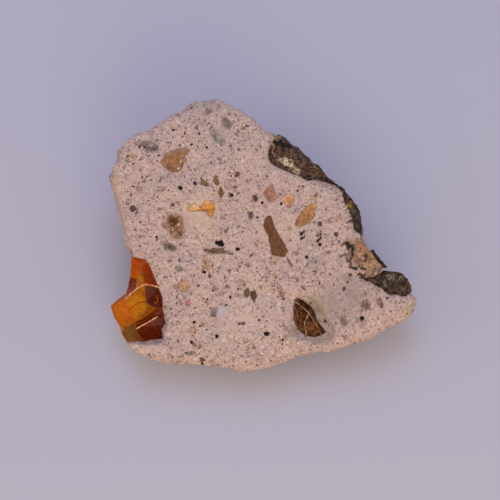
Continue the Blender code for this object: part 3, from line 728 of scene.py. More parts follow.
def shown_piece(name, body, materials, sharp=30.0):
    """Turn a bmesh into a piece of the specimen, smooth but for its sharp edges."""
    mesh = bpy.data.meshes.new(name)
    body.to_mesh(mesh)
    body.free()
    mesh.shade_smooth()
    mesh.set_sharp_from_angle(angle=radians(sharp))
    for material in materials:
        mesh.materials.append(material)
    piece = bpy.data.objects.new(name, mesh)
    bpy.context.scene.collection.objects.link(piece)
    return piece


def inlays(name, rows, proud, material, crown=FLAT_CROWN):
    """All the crystals of one kind as one piece, each painted lighter on one side than on the other, as
    light and shade.
    """
    body = bmesh.new()
    middle_layer = body.verts.layers.float.new("inwards")
    colour_layer = body.loops.layers.float_color.new("tint with painted light")
    edges = []
    for number, (colour, outline) in enumerate(rows):
        edge = ragged(outline, INLAY_EDGE_STEP, INLAY_WOBBLE, number + 1.0)
        edges.append(edge)
        middle = on_face(*(sum(part) / len(edge) for part in zip(*edge)))
        lean = Vector((1.0, 0.6, 0.0)) if number % 3 else Vector((-0.4, 1.0, 0.0))
        reach = max((on_face(*point) - middle).length for point in edge)
        height = proud + INLAY_LAP * number
        for face in inlay(body, edge, height, crown, middle_layer, number + 1.0):
            for corner in face.loops:
                # Painted light and shade: each crystal's colour is lighter towards one side and darker
                # towards the other.
                share = (corner.vert.co - middle).dot(lean.normalized()) / reach
                light = 1.0 + INLAY_SHADE * max(-1.0, min(1.0, share))
                corner[colour_layer] = (*(part * light for part in tint(*colour)[:3]), 1.0)
    seat(stone.data, edges, INLAY_SEAT)
    piece = shown_piece(name, body, [material])
    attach(piece, "root")


def oval(across, up, length, width, turn):
    """An oval outline, its turn in degrees."""
    lean = radians(turn)
    points = []
    for i in range(8):
        angle = -pi * i / 4
        x = length / 2 * cos(angle)
        y = width / 2 * sin(angle)
        points.append((across + x * cos(lean) - y * sin(lean), up + x * sin(lean) + y * cos(lean)))
    return points


FELDSPARS = [
    ((160, 108, 66), [(-17.6, 13.0), (-17.0, 14.2), (-15.9, 14.9), (-14.7, 15.2), (-12.8, 15.3),
                      (-12.6, 14.9), (-13.6, 13.8), (-13.7, 12.7), (-14.1, 11.6), (-14.7, 11.2),
                      (-15.6, 11.1), (-16.5, 11.6), (-17.2, 12.3)]),
    ((176, 124, 74), [(9.8, 5.7), (9.9, 4.6), (9.5, 3.2), (8.6, 1.9), (7.1, 1.5), (6.2, 1.7),
                      (6.7, 3.0), (7.7, 4.4), (8.8, 5.3)]),
    ((176, 124, 100), [(1.9, 8.9), (2.6, 7.9), (3.0, 6.9), (2.6, 6.0), (1.8, 5.7), (1.0, 6.6),
                       (0.6, 7.4), (1.2, 8.2)]),
    ((208, 152, 108), [(4.4, 6.8), (5.3, 7.2), (6.1, 6.9), (5.9, 5.7), (5.3, 4.8), (4.7, 5.2),
                       (4.1, 6.3)]),
    ((190, 148, 120), [(-9.8, -3.7), (-9.3, -4.2), (-8.5, -5.0), (-8.6, -5.9), (-9.3, -6.3),
                       (-10.1, -5.5), (-10.1, -4.6)]),
    ((186, 144, 108), [(-14.3, -8.4), (-13.2, -8.1), (-12.5, -8.4), (-12.6, -9.4), (-13.2, -10.1),
                       (-14.0, -10.0), (-14.7, -9.6), (-14.7, -8.7)]),
    ((200, 154, 130), [(-12.8, -16.2), (-12.2, -16.3), (-11.5, -16.7), (-11.3, -17.5),
                       (-11.9, -17.7), (-12.6, -17.3)]),
    ((180, 120, 112), [(-13.2, -11.6), (-12.5, -11.7), (-12.4, -12.3), (-12.9, -12.8),
                       (-13.3, -12.2)]),
    ((196, 160, 126), [(-23.5, 14.2), (-22.7, 14.3), (-22.6, 13.4), (-23.3, 12.9), (-24.1, 13.4)]),
    ((178, 132, 122), [(2.9, -8.3), (3.6, -9.1), (4.1, -10.6), (4.3, -11.5), (3.6, -10.8),
                       (3.2, -9.7)]),
    ((188, 156, 146), [(-6.2, 9.6), (-5.1, 9.8), (-4.5, 8.8), (-5.3, 8.0), (-6.2, 8.5)]),
    ((112, 66, 32), [(1.4, 3.5), (2.0, 3.2), (2.5, 1.5), (3.4, -0.1), (4.5, -2.0), (4.9, -3.1),
                     (4.3, -4.0), (3.4, -3.9), (2.2, -3.6), (1.9, -2.2), (1.3, 0.1), (0.6, 1.5),
                     (0.9, 2.8)]),
    ((138, 102, 56), [(-10.6, 10.0), (-10.1, 9.8), (-9.1, 9.0), (-9.5, 8.7), (-10.4, 9.0)]),
    ((136, 104, 62), [(-8.1, 10.2), (-7.6, 10.2), (-7.3, 9.6), (-7.4, 8.7), (-8.0, 9.0),
                      (-8.3, 9.6)]),
    ((116, 86, 42), [(-7.0, 8.7), (-6.7, 8.1), (-6.5, 7.2), (-6.9, 6.6), (-7.3, 7.0), (-7.3, 7.9)]),
    ((150, 108, 84), [(-9.6, 22.3), (-8.8, 22.4), (-8.6, 22.2), (-9.1, 21.4), (-9.7, 21.4)]),
    ((92, 60, 52), [(-23.1, 5.1), (-22.5, 5.3), (-22.0, 4.7), (-22.2, 4.2), (-22.8, 4.1),
                    (-23.2, 4.5)]),
    ((112, 72, 52), oval(13.5, 0.1, 0.8, 0.7, 20.0)),
    ((134, 100, 76), [(20.8, -11.4), (21.5, -11.5), (21.9, -12.6), (21.7, -13.0), (21.0, -12.3)]),
    ((118, 82, 52), [(-2.9, -9.9), (-2.2, -9.4), (-1.8, -10.1), (-2.2, -11.2), (-2.8, -11.0)]),
    ((92, 64, 44), [(-1.8, -10.1), (-0.9, -9.9), (-0.6, -11.0), (-1.1, -12.0), (-1.6, -11.2)]),
    ((122, 78, 50), oval(-15.9, 3.1, 0.9, 0.6, 40.0)), ((108, 68, 42), oval(-15.0, 2.6, 0.8, 0.6, -30.0)),
    ((150, 96, 48), oval(-15.7, 2.0, 0.8, 0.6, 10.0)), ((204, 168, 124), oval(-14.5, 1.8, 0.6, 0.5, 0.0)),
    ((130, 88, 56), oval(-14.9, 1.0, 0.8, 0.5, 60.0)), ((186, 146, 98), oval(-15.6, 0.9, 0.6, 0.5, 20.0)),
    ((112, 82, 60), oval(-14.2, 0.2, 0.7, 0.5, -50.0)), ((160, 118, 76), oval(-14.9, -0.3, 0.6, 0.4, 0.0)),
    ((214, 180, 136), oval(-16.1, 1.8, 0.5, 0.3, 80.0)),
    # The last three rows are a painted highlight on the first crystal's break: a pale streak with two
    # glints.
    ((252, 230, 194), oval(-14.5, 11.8, 0.6, 0.26, 55.0)),
    ((214, 168, 110), oval(-14.1, 12.9, 1.2, 0.4, 75.0)),
    ((244, 220, 186), oval(-13.8, 13.9, 0.34, 0.22, 40.0)),
]
FRAGMENTS = [
    ((124, 110, 108), [(-21.5, 16.5), (-20.2, 16.7), (-18.9, 16.5), (-18.0, 15.8), (-17.9, 15.0),
                       (-19.2, 14.7), (-20.5, 15.0), (-20.7, 15.7), (-21.5, 15.9)]),
    ((150, 146, 134), [(-8.9, 19.1), (-8.0, 18.4), (-6.9, 17.3), (-6.0, 16.2), (-6.8, 15.9),
                       (-7.9, 16.5), (-8.6, 17.7)]),
    ((142, 122, 114), [(-6.8, 20.8), (-6.1, 20.9), (-5.3, 20.2), (-4.6, 19.9), (-5.1, 19.1),
                       (-5.8, 18.8), (-6.8, 19.7)]),
    ((90, 74, 70), [(-1.4, 7.0), (-0.7, 7.2), (-0.4, 6.3), (-0.7, 5.7), (-1.2, 6.0)]),
    ((104, 90, 88), [(-2.2, 4.1), (-1.2, 4.2), (-1.1, 3.5), (-1.6, 2.6), (-2.1, 3.1)]),
    ((122, 106, 100), [(-17.2, -1.5), (-16.3, -1.4), (-15.3, -1.9), (-14.7, -2.5), (-15.6, -2.9),
                       (-16.7, -2.5), (-17.3, -1.9)]),
    ((134, 116, 116), [(-8.5, -13.1), (-7.7, -12.8), (-7.6, -13.3), (-7.8, -14.7), (-8.6, -14.6),
                       (-8.8, -13.8)]),
    ((110, 98, 94), [(-4.1, -15.7), (-2.6, -15.4), (-2.5, -15.8), (-4.0, -16.0)]),
    ((144, 114, 96), [(18.0, -11.7), (18.9, -11.5), (19.6, -12.3), (19.5, -13.2), (18.6, -13.5),
                      (17.9, -12.7)]),
    ((140, 118, 108), [(14.3, -14.5), (15.2, -14.4), (15.7, -15.8), (14.9, -16.3), (14.2, -15.4)]),
    ((120, 100, 90), [(4.8, -4.3), (5.5, -4.8), (5.9, -5.5), (5.7, -5.8), (5.2, -5.4)]),
    ((176, 150, 150), oval(-19.3, 15.9, 1.3, 0.7, -8.0)),
    ((98, 78, 76), oval(-19.0, 15.3, 0.9, 0.4, -20.0)),
    ((128, 124, 116), oval(-12.4, -21.1, 1.0, 0.8, 0.0)),
    ((120, 92, 70), [(-9.6, -2.9), (-8.0, -2.6), (-7.3, -2.3), (-6.8, -2.7), (-5.4, -3.0),
                     (-5.7, -3.3), (-7.7, -3.4), (-9.5, -3.2)]),
    ((132, 122, 114), oval(-14.4, -6.0, 1.5, 0.9, -20.0)),
]
BLACK_GRAINS = [
    (-15.5, 18.7, 0.5), (-12.2, 16.0, 0.55), (-9.5, 15.5, 0.4), (-10.8, 18.0, 0.4),
    (-5.0, 7.0, 0.6), (0.3, 5.7, 0.45), (3.7, 5.5, 0.55), (8.3, -3.9, 0.6), (-14.4, -4.6, 0.4),
    (-9.9, -6.6, 0.7), (-11.0, -9.0, 0.4), (-5.3, -11.1, 0.55), (-9.4, -11.5, 0.4),
    (-4.0, -2.5, 0.8), (-11.7, -15.5, 0.5), (-7.7, -18.0, 0.7), (-12.2, -19.1, 0.6),
    (-10.3, -23.0, 0.6), (-0.2, -15.1, 0.4), (4.2, -11.4, 0.45), (10.6, -8.6, 0.45),
    (4.0, -18.7, 0.5), (-14.2, 8.3, 0.95), (7.3, 0.1, 0.6), (10.2, -0.1, 0.5), (10.6, -1.7, 0.6),
    (18.1, -14.8, 0.8), (1.2, -17.6, 1.0), (-6.1, -12.5, 0.4),
    (-11.6, 9.3, 0.5), (-11.5, 9.0, 0.35), (-20.6, 15.6, 0.4), (-3.9, -9.6, 0.35),
    (-22.6, 12.6, 0.35), (-0.5, 3.1, 0.45), (15.5, -8.4, 0.4), (-18.4, -0.4, 0.45),
]


def crystal_finish(name, low, high, gloss, specular, fade):
    """A crystal's broken face: its colour with its painted light and shade, cloudy and streaked, and faded
    into rock at its edge.
    """
    material = bpy.data.materials.new(name)
    material.use_nodes = True
    tree = material.node_tree
    shader = tree.nodes["Principled BSDF"]
    shader.inputs["Specular IOR Level"].default_value = specular
    # own: each crystal's colour, with its painted light and shade.
    own = add(tree, "Attribute", attribute_name="tint with painted light").outputs["Color"]
    inwards = add(tree, "Attribute", attribute_name="inwards").outputs["Fac"]
    place = add(tree, "Group", node_tree=PLACES).outputs["Place"]
    streaks = vector_maths(tree, "MULTIPLY", place, (1.0, 0.25, 1.0))
    cloud = noisy(tree, place, 1.2, 5.0, 0.65)
    streak = noisy(tree, streaks, 3.4, 2.0)
    cloudy = ramp(tree, cloud, 0.35, 0.65, low, high)
    shade = maths(tree, "MULTIPLY", cloudy, ramp(tree, streak, 0.3, 0.7, 0.86, 1.14))
    colour = blended(tree, 1.0, own, shade, "MULTIPLY")
    flecks = add(tree, "Group", node_tree=FLECKS)
    for socket, value in zip(flecks.inputs, (place, 1.7, 0.6, 0.04)):
        feed(tree, socket, value)
    dark = blended(tree, 1.0, own, tint(130, 112, 100), "MULTIPLY")
    colour = blended(tree, maths(tree, "MULTIPLY", flecks.outputs["Mask"], 0.8), colour, dark)
    rough = noisy(tree, place, 2.3, 4.0, 0.7)
    faded = maths(tree, "ADD", inwards, maths(tree, "MULTIPLY", rough, 0.7))
    rock = blended(tree, ramp(tree, rough, 0.4, 0.6), tint(170, 140, 130), tint(212, 184, 172))
    colour = blended(tree, ramp(tree, faded, 0.3 + fade, 0.2 + fade, 0.0, 0.85), colour, rock)
    feed(tree, shader.inputs["Base Color"], colour)
    feed(tree, shader.inputs["Roughness"], ramp(tree, streak, 0.2, 0.8, gloss, gloss + 0.3))
    bump = add(tree, "Bump", {"Height": rough, "Distance": 0.08 * MM, "Strength": 0.6})
    feed(tree, shader.inputs["Normal"], bump.outputs["Normal"])
    return material


inlays(
    "feldspar_crystals", FELDSPARS, 0.04,
    crystal_finish("stained feldspar", 0.72, 1.2, 0.22, 0.5, 0.0),
)
inlays(
    "rock_fragments", FRAGMENTS, 0.02,
    crystal_finish("older rock", 0.66, 1.25, 0.7, 0.15, 0.22),
)
grains = [((34, 24, 24), oval(u, v, size, size * 0.75, 40.0 * n)) for n, (u, v, size)
          in enumerate(BLACK_GRAINS)]
grains.append(((26, 18, 16), [(-8.0, -1.0), (-7.4, -1.1), (-6.8, -1.0), (-6.3, -1.9), (-6.6, -2.1),
                              (-7.3, -1.9), (-8.0, -1.5)]))
inlays(
    "black_oxide_grains", grains, 0.0, crystal_finish("iron oxide", 0.7, 1.2, 0.5, 0.15, 0.0),
)

# Two blebs of honey opal in the rock: small glassy drops with a pale halo round them, and white glints
# painted on them.
HONEY_BLEBS = [
    ((224, 140, 40), [(-9.9, 5.9), (-9.2, 6.1), (-8.3, 5.9), (-8.0, 5.0), (-8.2, 4.0), (-8.7, 3.1),
                      (-9.3, 3.6), (-9.3, 4.3), (-10.2, 4.4), (-11.0, 4.2), (-10.9, 4.8),
                      (-10.2, 5.2)]),
    ((222, 172, 108), [(-12.8, 5.1), (-12.0, 5.4), (-11.2, 5.3), (-10.7, 4.7), (-11.4, 4.3),
                       (-12.3, 4.1), (-12.9, 4.5)]),
    ((236, 190, 120), oval(-9.5, 5.4, 0.9, 0.5, 20.0)),
    ((160, 78, 18), oval(-8.7, 4.5, 0.5, 1.1, 10.0)),
    # Painted glints: the three white ovals.
    ((255, 246, 226), oval(-9.2, 5.3, 0.4, 0.3, 0.0)),
    ((255, 240, 206), oval(-9.0, 3.7, 0.24, 0.2, 0.0)),
    ((255, 236, 200), oval(-11.9, 4.7, 0.34, 0.22, 0.0)),
]
inlays(
    "honey_opal_blebs", HONEY_BLEBS, 0.4, crystal_finish("honey opal", 0.7, 1.3, 0.05, 0.9, -0.16),
    DROP_CROWN,
)

# The fire opal. Clear orange opal that filled a hollow at the lump's edge, broken across with
# curved glassy breaks. Its root sits in the rock, and its left side stands open at the edge.
GEM_FACET_STEP = 0.24
PLAIN_EDGE = 0.04
# How far the pale rim along the opal's edges reaches: partly wear, partly painted highlight.
WEAR_AND_SHEEN_REACH = 0.12
OPAL_RIM = {
    "top_left": (-23.0, -3.9, -1.4), "top": (-21.5, -4.25, -1.15), "top_right": (-20.4, -4.5, -1.0),
    "shoulder": (-19.75, -5.3, -0.8), "upper_side": (-19.0, -6.8, -0.65),
    "upper_right": (-18.35, -8.5, -0.5), "ledge_right": (-18.15, -9.3, -0.75),
    "right": (-17.2, -11.5, -1.15), "lower_right": (-17.15, -13.1, -1.4),
    "groove_right": (-17.05, -14.7, -1.7), "right_tip": (-16.75, -15.85, -2.1),
    "right_nick": (-17.6, -16.9, -2.3), "bottom_right": (-17.5, -18.7, -3.1),
    "bottom_step": (-19.4, -18.85, -3.4), "bottom": (-20.8, -19.35, -3.9),
    "bottom_left": (-24.1, -19.6, -4.7), "low_left": (-25.1, -17.9, -4.3),
    "left_corner": (-25.4, -16.5, -3.6), "left_side": (-26.4, -14.8, -3.35),
    "left_tip": (-27.0, -12.8, -3.4), "left_shelf": (-25.7, -11.65, -3.0),
    "left_nick": (-24.1, -10.4, -2.7), "left_neck": (-23.7, -9.0, -2.5),
    "upper_left": (-23.35, -7.3, -2.2),
}
OPAL_CROWN = {
    "seam_top": (-20.9, -5.5, -1.0), "seam_low": (-21.7, -7.0, -1.45), "hollow": (-22.1, -7.8, -1.9),
    "wedge_top": (-20.95, -7.5, -1.1), "ridge_peak": (-20.6, -8.8, 0.1),
    "ridge_middle": (-22.05, -9.65, -0.25), "ridge_low": (-23.0, -10.4, -0.7),
    "ridge_left": (-24.0, -11.35, -1.4), "ledge_middle": (-19.4, -8.95, -0.15),
    "gold_low": (-20.4, -12.1, -0.75), "gold_left": (-23.4, -13.2, -1.35),
    "arc_middle": (-21.8, -12.5, -0.95), "waist": (-23.1, -14.1, -1.5),
    "lap_right": (-18.6, -13.1, -0.75), "lap_low": (-20.5, -14.7, -1.35),
    "foot": (-22.6, -15.6, -1.95), "toe": (-24.7, -16.7, -3.1),
    "groove_low": (-22.4, -16.2, -2.6), "groove_middle": (-19.9, -15.05, -2.0),
    "lip_low": (-22.3, -16.9, -2.3), "lip_middle": (-20.4, -15.8, -1.75),
    "lip_end": (-18.4, -14.6, -1.35), "brow": (-22.0, -17.9, -3.0),
}
# The opal's breaks: the tint and haze of each, the way its ripples run, and its corners. Each tint is
# partly the opal's colour and partly painted light and shade: some breaks are painted bright gold, others
# dark red.
OPAL_BREAKS = [
    ((255, 138, 66), 0.03, (1.0, 0.3), "top_left top top_right seam_top seam_low hollow upper_left"),
    ((192, 96, 90), 0.05, (0.25, 1.0), "top_right shoulder upper_side upper_right ledge_right"
     " ledge_middle ridge_peak wedge_top seam_low seam_top"),
    ((255, 240, 140), 0.04, (1.0, 0.6), "hollow seam_low wedge_top ridge_peak ridge_middle"),
    ((126, 44, 40), 0.06, (1.0, 0.2), "upper_left hollow ridge_middle ridge_low ridge_left left_nick"
     " left_neck"),
    ((156, 110, 110), 0.08, (1.0, 0.8), "left_nick ridge_left left_tip left_shelf"),
    ((255, 244, 130), 0.03, (0.4, 1.0), "ridge_middle ridge_peak gold_low arc_middle gold_left"
     " ridge_left ridge_low"),
    ((255, 170, 80), 0.04, (1.0, 0.4), "ridge_left gold_left waist foot toe left_corner left_side"
     " left_tip"),
    ((255, 232, 120), 0.04, (1.0, 0.7), "gold_left arc_middle gold_low lap_right lap_low foot waist"),
    ((80, 30, 50), 0.05, (0.2, 1.0), "ridge_peak ledge_middle ledge_right right lower_right"
     " lap_right gold_low"),
    ((120, 44, 30), 0.06, (1.0, 0.5), "foot lap_low lap_right lower_right groove_right groove_middle"
     " groove_low"),
    ((90, 34, 60), 0.06, (1.0, 0.5), "groove_low groove_middle groove_right lip_end lip_middle"
     " lip_low"),
    ((118, 50, 44), 0.05, (0.3, 1.0), "lip_low lip_middle lip_end groove_right right_tip right_nick"
     " bottom_right bottom_step bottom brow"),
    ((150, 136, 190), 0.08, (0.6, 1.0), "foot groove_low lip_low brow bottom bottom_left low_left toe"),
    ((220, 190, 235), 0.08, (0.6, 1.0), "toe low_left left_corner"),
]
# Cracks, threads and sparks in the fire opal, told as the rock's veins are. The pale line under the arc
# crack, the pale dot on the dark bead and the three pale sparks are painted highlights.
OPAL_VEINS = [
    (0.09, (150, 50, 14), [(-23.4, -13.4), (-22.6, -12.7), (-21.6, -12.15), (-20.9, -11.95),
                          (-20.2, -12.05)]),
    (0.07, (255, 226, 140), [(-22.6, -12.95), (-21.6, -12.4), (-20.9, -12.2), (-20.2, -12.3)]),
    (0.13, (255, 250, 250), [(-18.2, -10.8), (-18.5, -11.2), (-18.2, -11.7), (-18.4, -12.1),
                             (-18.8, -12.15)]),
    (0.08, (255, 190, 110), [(-20.3, -5.0), (-20.7, -6.0), (-21.6, -7.0)]),
    (0.34, (40, 18, 8), [(-23.35, -8.3), (-23.3, -8.35)]),
    (0.1, (220, 170, 120), [(-23.4, -8.2), (-23.38, -8.2)]),
    (0.1, (255, 236, 170), [(-24.2, -12.6), (-24.15, -12.6)]),
    (0.1, (255, 236, 170), [(-22.7, -15.7), (-22.6, -15.6)]),
    (0.1, (255, 236, 170), [(-19.3, -13.5), (-19.3, -13.6)]),
]
OPAL_CRESTS = [
    "ridge_left ridge_low ridge_middle ridge_peak ledge_middle ledge_right",
    "lip_low lip_middle lip_end",
]
OPAL_AXIS = (-20.6, -11.6)
OPAL_ROOT = [0.02, 0.35, 0.7]


def crease_distances(body, number):
    """How far each point lies from the edge of its break, in millimetres."""
    edge_points = []
    for vert in body.verts:
        numbers = {face[number] for face in vert.link_faces}
        if len(numbers) > 1 or 0 in numbers:
            edge_points.append(vert.co.copy())
    tree = KDTree(len(edge_points))
    for index, point in enumerate(edge_points):
        tree.insert(point, index)
    tree.balance()
    return [tree.find(vert.co)[2] / MM for vert in body.verts]


def broken_gem(name, rim, crown, breaks, crests, crest_width, axis, root, bed, materials):
    """A broken opal: curved glassy breaks between named corners, and a root below its rim."""
    body = bmesh.new()
    number = body.faces.layers.int.new("break")
    worn = body.verts.layers.float.new("worn")
    corners = {key: body.verts.new(on_face(*place)) for key, place in {**rim, **crown}.items()}
    for index, (_, _, _, names) in enumerate(breaks):
        body.faces.new([corners[key] for key in names.split()])[number] = index + 1
    upper = [corners[key] for key in rim]
    side, under = len(breaks) + 1, len(breaks) + 2
    for ring, share in enumerate(root):
        lower = []
        for u, v, out in rim.values():
            at = Vector((u, v)).lerp(Vector(axis), share)
            depth = min(bed_height(at.x, at.y, bed), out - 0.8)
            lower.append(body.verts.new(on_face(at.x, at.y, depth)))
        for i, (a, b) in enumerate(zip(upper, lower)):
            j = (i + 1) % len(upper)
            face = body.faces.new((a, b, lower[j], upper[j]))
            face[number] = under if ring else side
            face.material_index = 2 if ring else 0
        upper = lower
    floor = body.faces.new(upper)
    floor[number] = under
    floor.material_index = 2
    bmesh.ops.recalc_face_normals(body, faces=body.faces[:])

    pairs = set()
    for crest in crests:
        keys = crest.split()
        pairs |= {frozenset((corners[a], corners[b])) for a, b in zip(keys, keys[1:])}
    crest_edges = [edge for edge in body.edges if frozenset(edge.verts) in pairs]
    others = [
        edge for edge in body.edges
        if edge not in crest_edges and all(face[number] != under for face in edge.link_faces)
    ]
    plain_edges = [edge for edge in others if edge.calc_face_angle(0.0) > radians(8.0)]
    # Crests get the chipped finish, pale with a painted highlight; the other edges get a pale rim, partly
    # wear and partly painted highlight.
    for edges, width, wear_and_sheen, chipped in (
        (crest_edges, crest_width, 1.0, 1), (plain_edges, PLAIN_EDGE, 0.3, 0),
    ):
        made = bmesh.ops.bevel(
            body, geom=[edge for edge in edges if edge.is_valid], offset=width * MM, segments=2,
            affect="EDGES", profile=0.5, clamp_overlap=True,
        )
        for face in made["faces"]:
            face[number] = 0
            face.material_index = chipped
            for vert in face.verts:
                vert[worn] = max(vert[worn], wear_and_sheen)
    bmesh.ops.triangulate(body, faces=body.faces[:])
    for _ in range(6):
        long_edges = [e for e in body.edges if e.calc_length() > GEM_FACET_STEP * MM]
        if not long_edges:
            break
        bmesh.ops.subdivide_edges(body, edges=long_edges, cuts=1)
        bmesh.ops.triangulate(body, faces=body.faces[:])
    bmesh.ops.recalc_face_normals(body, faces=body.faces[:])

    for vert in body.verts:
        if all(face[number] == under for face in vert.link_faces):
            away = (vert.co - FACE_ZERO) / MM
            lift = bed_height(away.x, away.dot(FACE_UP), bed) - away.dot(FACE_OUT)
            vert.co += FACE_OUT * lift * MM
    body.normal_update()
    distances = crease_distances(body, number)
    rises = []
    for vert, distance in zip(body.verts, distances):
        index = max(face[number] for face in vert.link_faces)
        way = breaks[index - 1][2] if 0 < index <= len(breaks) else (1.0, 1.0)
        place = vert.co / MM
        along = place.x * way[0] + place.y * way[1]
        bend = 2.2 * noise.noise(place / 3.1)
        ripple = 0.018 * sin(5.5 * along + 4.0 * bend) + 0.05 * noise.noise(place / 1.1)
        bowl = -0.1 * min(1.0, distance / 1.6)
        rises.append(step(distance, 0.0, 0.5) * (ripple + bowl) if index <= len(breaks) else 0.0)
    for vert, rise, distance in zip(body.verts, rises, distances):
        vert.co += vert.normal * rise * MM
        vert[worn] *= 1.0 - step(distance, 0.0, WEAR_AND_SHEEN_REACH)

    # Each break's tint, which carries painted light and shade, becomes its colour.
    tint_layer = body.loops.layers.float_color.new("tint with painted light")
    haze_layer = body.verts.layers.float.new("haze")
    for face in body.faces:
        index = face[number]
        colour, haze = breaks[index - 1][:2] if 0 < index <= len(breaks) else ((255, 206, 140), 0.05)
        for corner in face.loops:
            corner[tint_layer] = tint(*colour)
            corner.vert[haze_layer] = max(corner.vert[haze_layer], haze)
    return shown_piece(name, body, materials, sharp=24.0)


def clear_opal(name, absorbed, density, veins):
    """Clear opal: its colour is taken by depth and by each break's tint, with its painted light and shade,
    and its crests and edges are pale, partly wear and partly painted highlight.
    """
    material = bpy.data.materials.new(name)
    material.use_nodes = True
    tree = material.node_tree
    shader = tree.nodes["Principled BSDF"]
    shader.inputs["Transmission Weight"].default_value = 1.0
    shader.inputs["IOR"].default_value = 1.4
    shader.inputs["Specular Tint"].default_value = (0.5, 0.38, 0.36, 1.0)
    # own: each break's tint, with its painted light and shade.
    own = add(tree, "Attribute", attribute_name="tint with painted light").outputs["Color"]
    haze = add(tree, "Attribute", attribute_name="haze").outputs["Fac"]
    worn = add(tree, "Attribute", attribute_name="worn").outputs["Fac"]
    place = add(tree, "Group", node_tree=PLACES).outputs["Place"]
    cloud = noisy(tree, place, 1.1, 4.0, 0.6)
    colour = blended(tree, 1.0, own, ramp(tree, cloud, 0.3, 0.7, 0.7, 1.1), "MULTIPLY")
    # Pale edges: partly wear, partly a painted highlight.
    colour = blended(tree, maths(tree, "MULTIPLY", worn, 0.7), colour, tint(255, 222, 204))
    colour = lay_veins_and_highlights(tree, colour, veins, place)
    feed(tree, shader.inputs["Base Color"], colour)
    haze = maths(tree, "MULTIPLY", haze, ramp(tree, cloud, 0.4, 0.7, 0.4, 1.4))
    feed(tree, shader.inputs["Roughness"], maths(tree, "MAXIMUM", haze, maths(tree, "MULTIPLY", worn, 0.4)))
    depth = add(tree, "VolumeAbsorption")
    depth.inputs["Color"].default_value = absorbed
    depth.inputs["Density"].default_value = density
    tree.links.new(depth.outputs[0], tree.nodes["Material Output"].inputs["Volume"])
    return material


def chipped_highlit_edge(name, pale, brown):
    """Opal bruised along a crest, pale and pink: partly fine chips that break the light, partly a painted
    highlight along the crest.
    """
    material = bpy.data.materials.new(name)
    material.use_nodes = True
    tree = material.node_tree
    shader = tree.nodes["Principled BSDF"]
    place = add(tree, "Group", node_tree=PLACES).outputs["Place"]
    chips = noisy(tree, place, 2.4, 4.0, 0.7)
    colour = blended(tree, ramp(tree, chips, 0.44, 0.56), tint(*brown), tint(*pale))
    feed(tree, shader.inputs["Base Color"], colour)
    feed(tree, shader.inputs["Roughness"], ramp(tree, chips, 0.3, 0.7, 0.15, 0.45))
    bump = add(tree, "Bump", {"Height": chips, "Distance": 0.1 * MM, "Strength": 0.8})
    feed(tree, shader.inputs["Normal"], bump.outputs["Normal"])
    return material


def milky_opal(name, pale, deep):
    """The milky skin under a clear opal, where it grew on the rock: it throws light back up."""
    material = bpy.data.materials.new(name)
    material.use_nodes = True
    tree = material.node_tree
    shader = tree.nodes["Principled BSDF"]
    place = add(tree, "Group", node_tree=PLACES).outputs["Place"]
    shader.inputs["Specular IOR Level"].default_value = 0.1
    cloud = noisy(tree, place, 1.3, 5.0, 0.7)
    feed(tree, shader.inputs["Base Color"], blended(
        tree, ramp(tree, cloud, 0.4, 0.62), tint(*deep), tint(*pale),
    ))
    feed(tree, shader.inputs["Roughness"], ramp(tree, cloud, 0.3, 0.7, 0.4, 0.8))
    return material


fire_opal = broken_gem(
    "fire_opal_gem", OPAL_RIM, OPAL_CROWN, OPAL_BREAKS, OPAL_CRESTS, 0.12, OPAL_AXIS, OPAL_ROOT,
    OPAL_BED,
    [clear_opal("fire opal", (1.0, 0.88, 0.1, 1.0), 450.0, OPAL_VEINS),
     chipped_highlit_edge("chipped fire opal with painted highlight", (255, 214, 186), (214, 120, 64)),
     milky_opal("milky fire opal", (255, 236, 160), (255, 196, 90))],
)
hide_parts("fire_opal")
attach(fire_opal, "root")

# The amber opal. A smaller, browner opal in a smooth hollow, with one curved crest across it.
AMBER_RIM = {
    "top": (6.5, -11.0, -1.0), "upper_right": (7.9, -11.7, -1.7), "right": (9.2, -12.8, -2.1),
    "low_right": (9.9, -14.0, -2.2), "tail_neck": (10.5, -15.5, -2.0),
    "tail_bend": (11.1, -16.4, -1.9), "tail": (12.0, -17.5, -1.8), "tail_under": (11.2, -18.0, -1.9),
    "bottom": (9.7, -18.4, -1.9), "bottom_left": (8.4, -18.2, -1.8), "low_left": (7.2, -17.5, -1.6),
    "left": (6.4, -16.5, -1.3), "upper_left": (5.8, -14.9, -0.9), "side": (5.9, -13.3, -0.75),
    "shoulder": (5.95, -11.9, -0.6),
}
AMBER_CROWN = {
    "crest_top": (7.0, -12.4, -0.2), "crest_middle": (8.7, -13.9, -0.15),
    "crest_low": (9.7, -15.6, -0.35), "crest_end": (10.4, -16.9, -0.9), "rib": (7.9, -15.7, -0.8),
    "hollow": (6.9, -14.4, -1.1),
}
